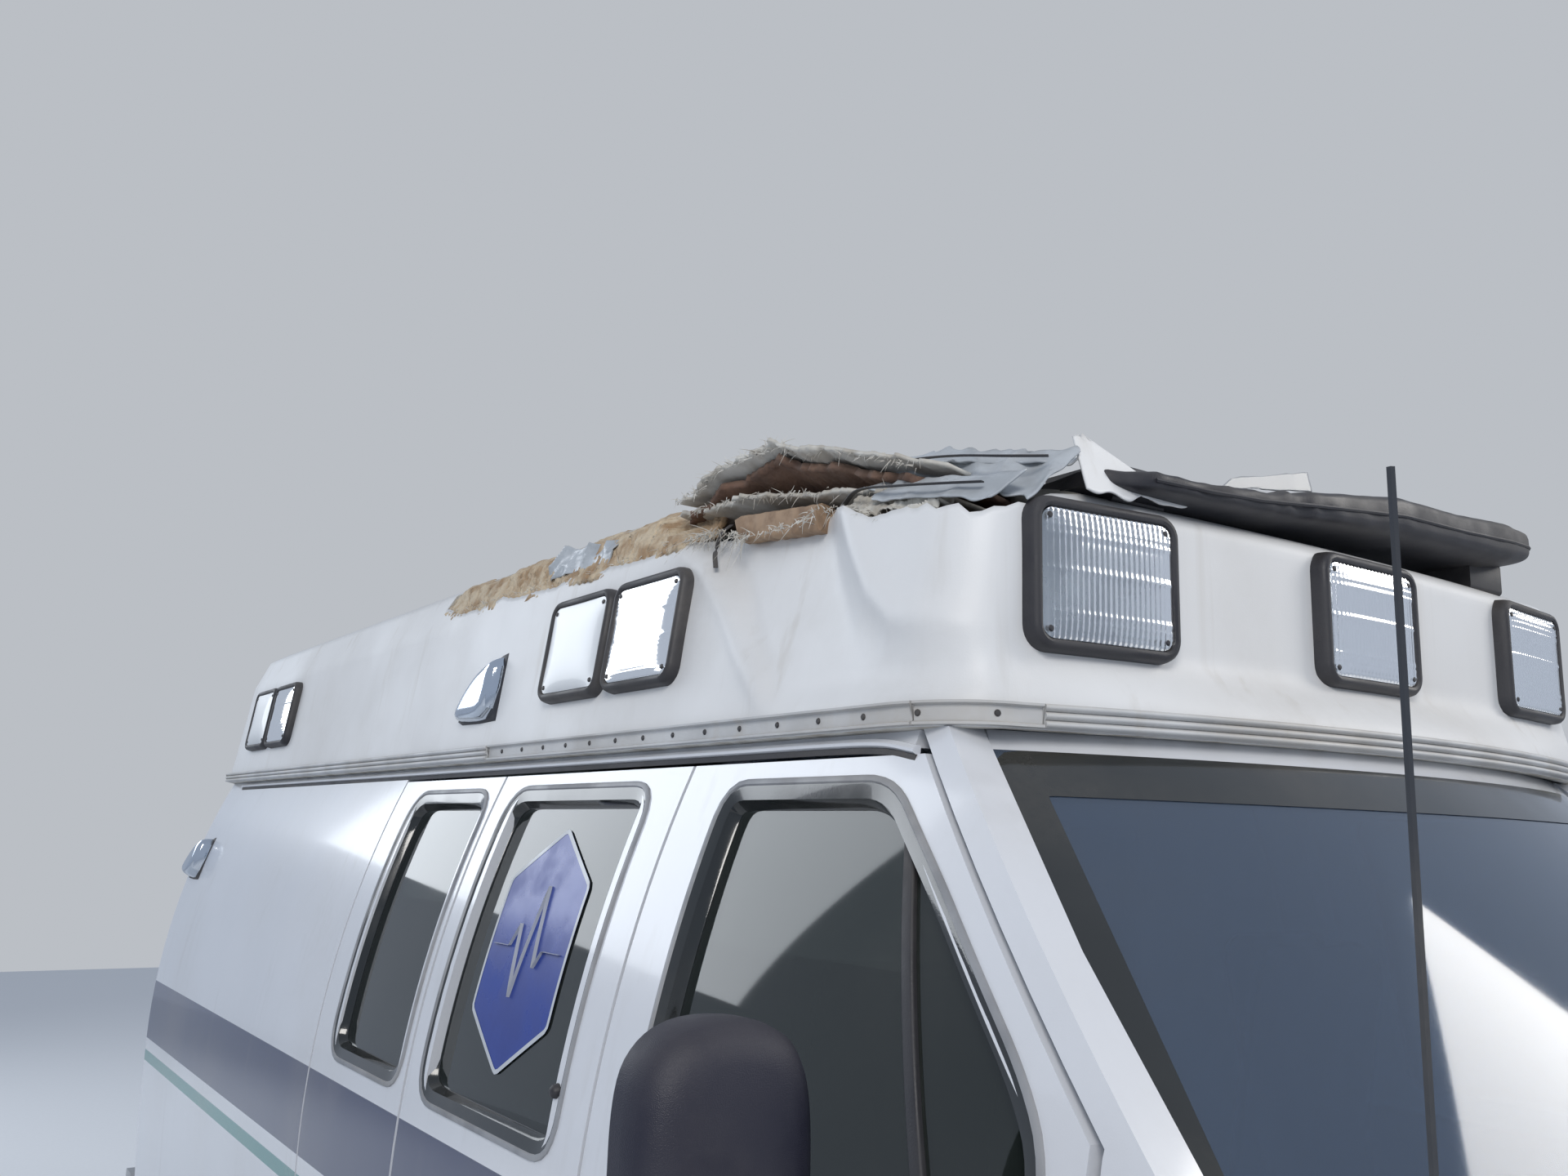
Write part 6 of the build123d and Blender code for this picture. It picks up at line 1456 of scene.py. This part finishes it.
# %% Windscreen border and wipers
SCREEN_FOOT, SCREEN_HEAD = np.array([2.110, 0, 1.300]), np.array([1.483, 0, 1.943])
SCREEN_LENGTH = float(np.linalg.norm(SCREEN_HEAD - SCREEN_FOOT))
SCREEN_UP = (SCREEN_HEAD - SCREEN_FOOT) / SCREEN_LENGTH
SCREEN_OUT = np.array([SCREEN_UP[2], 0, -SCREEN_UP[0]])
SCREEN_HALF, SCREEN_BOW = 0.800, 0.111
SCREEN_BEND = (SCREEN_HALF ** 2 + SCREEN_BOW ** 2) / (2 * SCREEN_BOW)
WIPER_FOOT_Z = 1.316


def screen_surface(y, z, out=0.0):
    """The glass at a place across and a height: foot + s up - (R - sqrt(R^2 - y^2)) normal, moved out,
    where s is the run up the slope that brings it to the height."""
    y, z, out = np.broadcast_arrays(y, z, out)
    back = SCREEN_BEND - np.sqrt(SCREEN_BEND ** 2 - y ** 2)
    s = (z - SCREEN_FOOT[2] + back * SCREEN_OUT[2]) / SCREEN_UP[2]
    return (SCREEN_FOOT + s[..., None] * SCREEN_UP + (out - back)[..., None] * SCREEN_OUT
            + y[..., None] * np.array([0, 1.0, 0]))


SCREEN_CORNERS = [(-0.932, 1.312), (0.932, 1.312), (0.765, 1.930), (-0.765, 1.930)]
SCREEN_RINGS = ((-0.002, 0.0012), (0.006, 0.0016), (0.056, 0.0012))
border = framed(rounded_polygon(SCREEN_CORNERS, 0.050, 0.025), SCREEN_RINGS, screen_surface)
put("screen_border", border, [GLOSS_BLACK], outward=False)


def wiper(pivot_y, tip_y, tip_z):
    """An arm from its pivot to the blade's middle, and a thin blade that lies on the glass."""
    s = np.linspace(0, 1, 16)
    arm_y, arm_z = pivot_y + (tip_y - pivot_y) * s, WIPER_FOOT_Z + (tip_z - WIPER_FOOT_Z) * s ** 1.2
    arm = bar(screen_surface(arm_y, arm_z, 0.012 + 0.016 * np.sin(math.pi * s)),
              rounded_outline(0.010, 0.005, 0.002, 3), SCREEN_OUT, ((0, 1), (1.5, 0.7)))
    blade_y = tip_y + np.linspace(-0.24, 0.22, 20)
    blade_z = tip_z + 0.125 * (blade_y - tip_y)
    blade = bar(screen_surface(blade_y, blade_z, 0.007), rounded_outline(0.006, 0.011, 0.0015, 3), SCREEN_OUT)
    knuckle = rod([screen_surface(pivot_y, WIPER_FOOT_Z, height) for height in (-0.002, 0.010, 0.020)],
                  0.012, 14)
    return [arm, blade, knuckle]


put("wipers", several(wiper(-0.62, -0.26, 1.385) + wiper(0.08, 0.44, 1.385)), [BLACK_TRIM])

# %% [markdown]
# ## Mirrors, wheels and lamps
#
# The mirror heads are tall soft-cornered shells. A tyre is one grid in angle and width: its profile
# gives the radius, and the tread takes away grooves that depend on both.

# %% Door mirrors
MIRROR_AT = np.array([1.450, -1.200, 1.466])
MIRROR_RINGS = ((0.016, -0.030), (0.012, -0.038), (0.004, -0.039), (0.0, -0.034), (0.0, -0.010),
                (0.003, 0.010), (0.010, 0.024), (0.022, 0.034), (0.040, 0.039), (0.070, 0.0405))
MIRROR_GLASS_RINGS = ((0.0, -0.0305), (0.004, -0.034))
MIRROR_FOOT_RINGS = ((0, -0.016), (0, 0.006), (0.006, 0.014))
# Along an arm: forward of the mirror's middle in steps of 20 mm, and out from the middle line in metres
ARM_KNOTS = ((0.4, 0.980), (0.2, 1.040), (0, 1.110), (0, 1.150))
mirror_shape = rounded_polygon([(-0.102, -0.160), (-0.102, 0.116), (-0.076, 0.158), (-0.030, 0.176),
                                (0.046, 0.172), (0.086, 0.148), (0.102, 0.092), (0.102, -0.150),
                                (0.074, -0.176), (-0.066, -0.176)], 0.060, 0.010)


def mirror_surface(side):
    """Lays (across, up) on the mirror head, with out along the direction of travel."""
    middle = MIRROR_AT * (1, -side, 1)
    return lambda a, b, out: middle + np.stack(np.broadcast_arrays(out, side * -a, b), -1)


def shrunk(outline, rings, surface):
    """Rings drawn in towards the outline's middle, each (inset, out), then closed at both ends."""
    reach = np.abs(outline).max(0)
    rows = [surface(*(outline * (1 - away / reach)).T, out) for away, out in rings]
    ends = [np.broadcast_to(rows[k].mean(0), rows[k].shape) for k in (0, -1)]
    return grid(np.stack([ends[0], *rows, ends[1]]), close_columns=True)


for side, name in ((-1, "right"), (1, "left")):
    body, place = "door_front_" + name, mirror_surface(side)
    arms = [rod([(MIRROR_AT[0] + 0.02 * step, side * y, z) for step, y in ARM_KNOTS], 0.0155, 14)
            for z in (1.281, 1.321)]
    shell = several([shrunk(mirror_shape, MIRROR_RINGS, place)] + arms)
    put("mirror_shell_" + name, shell, [MIRROR_SHELL], body=body, replaces=["mirror_" + name])
    silvered = shrunk(mirror_shape * 0.86, MIRROR_GLASS_RINGS, place)
    put("mirror_glass_" + name, silvered, [CHROME], body=body)
    foot = plate((1.452, side * 0.992, 1.301), (1, 0, 0), (0, 0, 1), 0.075, 0.115, 0.02, MIRROR_FOOT_RINGS, 5)
    put("mirror_foot_" + name, foot, [MIRROR_SHELL], body=body)

# %% Tyres
TYRE_RADIUS, TYRE_HALF = 0.387, 0.1225
TYRE_SIDES, TREAD_BLOCKS, TREAD_DEPTH = 240, 60, 0.0085
# Across the tyre: place from -1 to 1, and radius
TYRE_PROFILE = np.array([(-0.80, 0.205), (-0.90, 0.214), (-0.985, 0.250), (-1.00, 0.290), (-0.985, 0.325),
                         (-0.93, 0.355), (-0.86, 0.371), (-0.80, 0.379), (-0.50, 0.3855),
                         (0.0, TYRE_RADIUS)])


def tyre():
    """radius(along, angle) = profile - grooves: three round grooves, zigzag cuts between them and blocks at
    the shoulder, plus thin raised rings on the side wall."""
    profile = np.concatenate([TYRE_PROFILE, TYRE_PROFILE[-2::-1] * (-1, 1)])
    run = np.concatenate([[0], np.cumsum(np.hypot(np.diff(profile[:, 0]) * TYRE_HALF,
                                                  np.diff(profile[:, 1])))])
    fine = np.linspace(0, run[-1], 78)
    along, radius = (np.interp(fine, run, profile[:, k])[:, None] for k in (0, 1))
    angle = (np.arange(TYRE_SIDES) * 2 * math.pi / TYRE_SIDES)[None]
    tread = smooth_step((radius - 0.366) / 0.008)
    round_cuts = sum(np.exp(-((along - place) / 0.045) ** 4) for place in (-0.42, 0.0, 0.42))
    wave = TREAD_BLOCKS * angle + 7 * np.abs(along) * math.pi
    cross_cuts = smooth_step((np.cos(wave) - 0.25) / 0.3) * (0.55 + 0.45 * (np.abs(along) > 0.5))
    radius = radius - TREAD_DEPTH * tread * np.clip(round_cuts + cross_cuts, 0, 1)
    rings = 0.0012 * (np.abs(np.sin(60 * math.pi * (radius - 0.205))) > 0.96) * (1 - tread)
    y = (along + 0 * radius) * TYRE_HALF + np.sign(along) * rings
    points = np.stack([radius * np.sin(angle), y, radius * np.cos(angle)], -1)
    return grid(points, close_columns=True)


tyre_part = tyre()
# Axles: place along the van and half of the track
AXLES = {"front": (2.040, 0.881), "rear": (-1.465, 0.853)}
wheels = [(end + "_" + hand, x, side * half_track) for end, (x, half_track) in AXLES.items()
          for hand, side in (("left", 1), ("right", -1))]
for place, x, y in wheels:
    centre = np.array([x, y, TYRE_RADIUS])
    put("tread_" + place, (tyre_part[0] + centre, tyre_part[1]), [RUBBER], body="wheel_" + place,
        replaces=["tyre_" + place], sharp=math.radians(30))

# %% Headlamps
HEADLAMP_AT = np.array([2.738, 0.668, 0.905])
HEADLAMP_RINGS = ((0, -0.004), (0, 0.006), (0.004, 0.009), (0.009, 0.008), (0.010, 0.002))
ACROSS, UPWARD = np.array([0, 1.0, 0]), np.array([0, 0, 1.0])
for side, name in ((-1, "right"), (1, "left")):
    middle = HEADLAMP_AT * (1, side, 1)
    lens = lens_sheet((middle, ACROSS, UPWARD), 0.196, 0.192, fluted, 0.004, 0.005)
    put("headlamp_lens_" + name, lens, [CLEAR_LENS], outward=False, sharp=math.pi)
    rim = plate(middle, ACROSS, UPWARD, 0.212, 0.206, 0.024, HEADLAMP_RINGS, 6, True)
    put("headlamp_rim_" + name, rim, [CHROME])

# %% [markdown]
# ## Seats
#
# Seat pads are stuffed vinyl. Each starts as a boxy pillow, x = a cos^p u cos^q v and so on, is remeshed
# evenly, and is blown up a little as cloth with its movement capped. Channels are then pressed in and
# piping is laid on.


# %% Pads
PAD_PRESSURE, LAST_FRAME, MOST_SWELL = 4.0, 20, 0.010


def signed_power(value, power):
    """A power that keeps the sign: sign(v) |v|^p."""
    return np.sign(value) * np.abs(value) ** power


def pillow(half, wing=0.0):
    """A closed pillow: superellipse sections in both directions, with side wings that stand higher."""
    u = np.linspace(-math.pi / 2, math.pi / 2, 40)[:, None]
    v = (np.arange(80) * 2 * math.pi / 80)[None]
    around = signed_power(np.cos(u), 0.45)
    x = half[0] * around * signed_power(np.cos(v), 0.30)
    y = half[1] * around * signed_power(np.sin(v), 0.30)
    z = half[2] * signed_power(np.sin(u), 0.60) + 0 * v
    z = z + wing * smooth_step((np.abs(y) / half[1] - 0.55) / 0.3) * (z > 0)
    return grid(np.stack([x, y, z], -1), close_columns=True)


def stuffed(part, voxel):
    """Points and faces of a pad after an even remesh and a short cloth run under pressure, each point
    moved by no more than MOST_SWELL."""
    mesh = bpy.data.meshes.new("pad_form")
    mesh.from_pydata(part[0].tolist(), [], part[1].tolist())
    form = bpy.data.objects.new("pad_form", mesh)
    bpy.context.scene.collection.objects.link(form)
    welded = form.modifiers.new("weld", "WELD")
    welded.merge_threshold = MERGE_DISTANCE
    remesh = form.modifiers.new("even", "REMESH")
    remesh.mode = "VOXEL"
    remesh.voxel_size = voxel
    even = bpy.data.meshes.new_from_object(form.evaluated_get(bpy.context.evaluated_depsgraph_get()))
    form.modifiers.clear()
    form.data = even
    start = np.empty(len(even.vertices) * 3)
    even.vertices.foreach_get("co", start)
    start = start.reshape(-1, 3)
    finish = start
    cloth = form.modifiers.new("cloth", "CLOTH")
    cloth.settings.use_pressure = True
    cloth.settings.uniform_pressure_force = PAD_PRESSURE
    cloth.settings.effector_weights.gravity = 0
    cloth.point_cache.frame_start, cloth.point_cache.frame_end = 1, LAST_FRAME
    for number in range(1, LAST_FRAME + 1):
        bpy.context.scene.frame_set(number)
    blown = form.evaluated_get(bpy.context.evaluated_depsgraph_get()).data
    finish = np.empty(len(start) * 3)
    blown.vertices.foreach_get("co", finish)
    move = finish.reshape(-1, 3) - start
    length = np.linalg.norm(move, axis=1, keepdims=True)
    finish = start + move * np.minimum(1, MOST_SWELL / np.maximum(length, 1e-9))
    bpy.context.scene.frame_set(1)
    faces = np.empty(len(even.loops), np.int32)
    even.loops.foreach_get("vertex_index", faces)
    faces = faces.reshape(-1, 4)
    bpy.data.objects.remove(form)
    return finish, faces


def tilted(angle):
    """Matrix that turns the pad's up direction back by an angle about Y."""
    c, s = math.cos(angle), math.sin(angle)
    return np.array([[c, 0, -s], [0, 1, 0], [s, 0, c]])


def seam_loop(pad_points, half, height, inset_share=0.93):
    """Places round the pad at one height, moved to the nearest points of the pad."""
    t = np.linspace(0, 2 * math.pi, 90, endpoint=False)
    wanted = np.stack([half[0] * inset_share * signed_power(np.cos(t), 0.3),
                       half[1] * inset_share * signed_power(np.sin(t), 0.3), 0 * t + height], 1)
    distance = np.linalg.norm(pad_points[None] - wanted[:, None], axis=2)
    loop = pad_points[distance.argmin(1)]
    kernel = np.array([0.25, 0.5, 0.25])
    wrapped = np.concatenate([loop[-1:], loop, loop[:1]])
    return np.stack([np.convolve(wrapped[:, k], kernel, mode="valid") for k in range(3)], 1)


def channelled(points, half, count, depth=0.006):
    """Sewn channels: narrow grooves across the pad's face, at even places along it."""
    x = points[:, 0] / half[0]
    lines = (x + 0.8) / 1.6 * count
    near = np.abs(lines - np.round(lines)) * 1.6 * half[0] / count
    inside = (np.abs(x) < 0.86) & (np.abs(points[:, 1]) < 0.66 * half[1]) & (points[:, 2] > 0)
    moved = points.copy()
    moved[:, 2] -= depth * np.exp(-(near / 0.007) ** 2) * inside
    return moved


# Half sizes, height of the side wings, number of channels and remesh size of each kind of pad. The bench
# shows least, so its pads are the coarsest. Finer ones would take what this file adds past a million
# triangles.
PADS = {
    "seat": ((0.228, 0.190, 0.058), 0.016, 5, 0.009),
    "back": ((0.305, 0.185, 0.044), 0.022, 6, 0.009),
    "bench": ((0.258, 0.200, 0.046), 0.0, 3, 0.012),
}
pad_parts = {}
for kind, (half, wing, channels, voxel) in PADS.items():
    pad_points, pad_faces = stuffed(pillow(half, wing), voxel)
    pad_parts[kind] = (channelled(pad_points, half, channels), pad_faces,
                       seam_loop(pad_points, half, 0.55 * half[2]))

# Kind of pad, name, place and how far it tilts back
PAD_PLACES = [
    ("seat", "seat_pad_right", (1.175, -0.530, 0.955), 0.06),
    ("seat", "seat_pad_left", (1.175, 0.530, 0.955), 0.06),
    ("back", "seat_back_right", (0.920, -0.530, 1.345), 1.40),
    ("back", "seat_back_left", (0.920, 0.530, 1.345), 1.40),
]
PAD_PLACES += [("bench", f"bench_pad_{number + 1}", (-2.03 + 0.53 * number, -0.630, 1.080), 0.0)
               for number in range(3)]
for kind, name, place, angle in PAD_PLACES:
    points, faces, loop = pad_parts[kind]
    turn = tilted(angle)
    old_node = "bench" if kind == "bench" else "front_seats"
    pad = put(name, (points @ turn.T + place, faces), [VINYL], replaces=[old_node],
              sharp=math.pi)
    smoother = pad.modifiers.new("round", "SUBSURF")
    smoother.levels = smoother.render_levels = 1
    line = loop @ turn.T + place
    put(name + "_piping", sweep(line, circle(0.0028, 8), turn[:, 2], close_path=True), [CAB_PLASTIC])

# %% Seat plinths, seat shells and the bench box
plinths = several([plate((1.150, y, 0.800), (1, 0, 0), (0, 1, 0), 0.380, 0.330, 0.03,
                         ((0.02, -0.100), (0, -0.090), (0.02, 0.060), (0.03, 0.095), (0.05, 0.100)), 6)
                   for y in (-0.53, 0.53)])
put("seat_plinths", plinths, [CAB_PLASTIC])
shells = several([plate((0.893, y, 1.350), (0, 1, 0), (-0.174, 0, 0.985), 0.350, 0.600, 0.06,
                        ((0.03, 0.000), (0.006, 0.002), (0, 0.012), (0, 0.020)), 6) for y in (-0.53, 0.53)])
put("seat_shells", shells, [CAB_PLASTIC])
box = plate((-1.500, -0.630, 0.950), (1, 0, 0), (0, 1, 0), 1.598, 0.416, 0.012,
            ((0.004, -0.084), (0, -0.080), (0, 0.078), (0.004, 0.082)), 4)
put("bench_box", box, [LINING])

# %% [markdown]
# ## Floor and light
#
# A pale floor, three broad soft lamps and an even sky: enough to read the dents without washing out the
# white.

# %% Stage
FLOOR_COLOUR, FLOOR_HALF, SKY_STRENGTH = (0.72, 0.73, 0.74), 16, 0.62
stage_paint, stage_tree, stage_shader = new_material("studio_floor", Roughness=0.85)
floor_speckle = noise(stage_tree, object_point(stage_tree), 40, 3)
stage_tree.links.new(mix_colour(stage_tree, floor_speckle, FLOOR_COLOUR, (0.76, 0.77, 0.78)),
                     stage_shader.inputs["Base Color"])
floor_rows = np.linspace(-FLOOR_HALF, FLOOR_HALF, 9)
floor_grid = np.stack(np.meshgrid(floor_rows, floor_rows, [0.0], indexing="ij"), -1)[:, :, 0]
floor_mesh = bpy.data.meshes.new("studio_floor")
floor_points, floor_faces = grid(floor_grid)
floor_mesh.from_pydata(floor_points.tolist(), [], floor_faces.tolist())
floor_mesh.materials.append(stage_paint)
floor_object = bpy.data.objects.new("studio_floor", floor_mesh)
bpy.context.scene.collection.objects.link(floor_object)

world = bpy.data.worlds.new("studio")
bpy.context.scene.world = world
world.use_nodes = True
sky = world.node_tree
background = sky.nodes["Background"]
rays = add_node(sky, "ShaderNodeLightPath")
seen = maths(sky, "MAXIMUM", rays.outputs["Is Camera Ray"], rays.outputs["Is Transmission Ray"])
sky.links.new(mix_colour(sky, seen, (0.62, 0.70, 0.84), (0.80, 0.84, 0.90)), background.inputs["Color"])
background.inputs["Strength"].default_value = SKY_STRENGTH


def softbox(name, place, aim, size, power, colour):
    """A square area lamp at a place, turned towards a point."""
    data = bpy.data.lights.new(name, "AREA")
    data.size = size
    data.energy = power
    data.color = colour
    lamp = bpy.data.objects.new(name, data)
    lamp.location = place
    lamp.rotation_mode = "QUATERNION"
    lamp.rotation_quaternion = (Vector(aim) - Vector(place)).to_track_quat("-Z", "Y")
    bpy.context.scene.collection.objects.link(lamp)


softbox("key", (6.5, -5.5, 6.0), (0.6, -0.4, 1.8), 3.0, 340, (1.0, 0.97, 0.93))
softbox("back", (5.0, 6.5, 6.0), (0, 0, 1.8), 3.5, 260, (1.0, 0.96, 0.90))
softbox("rear", (-7.5, -4.0, 5.0), (-1, 0, 1.4), 4.0, 150, (0.90, 0.95, 1.0))

bpy.context.scene.view_settings.view_transform = "Standard"
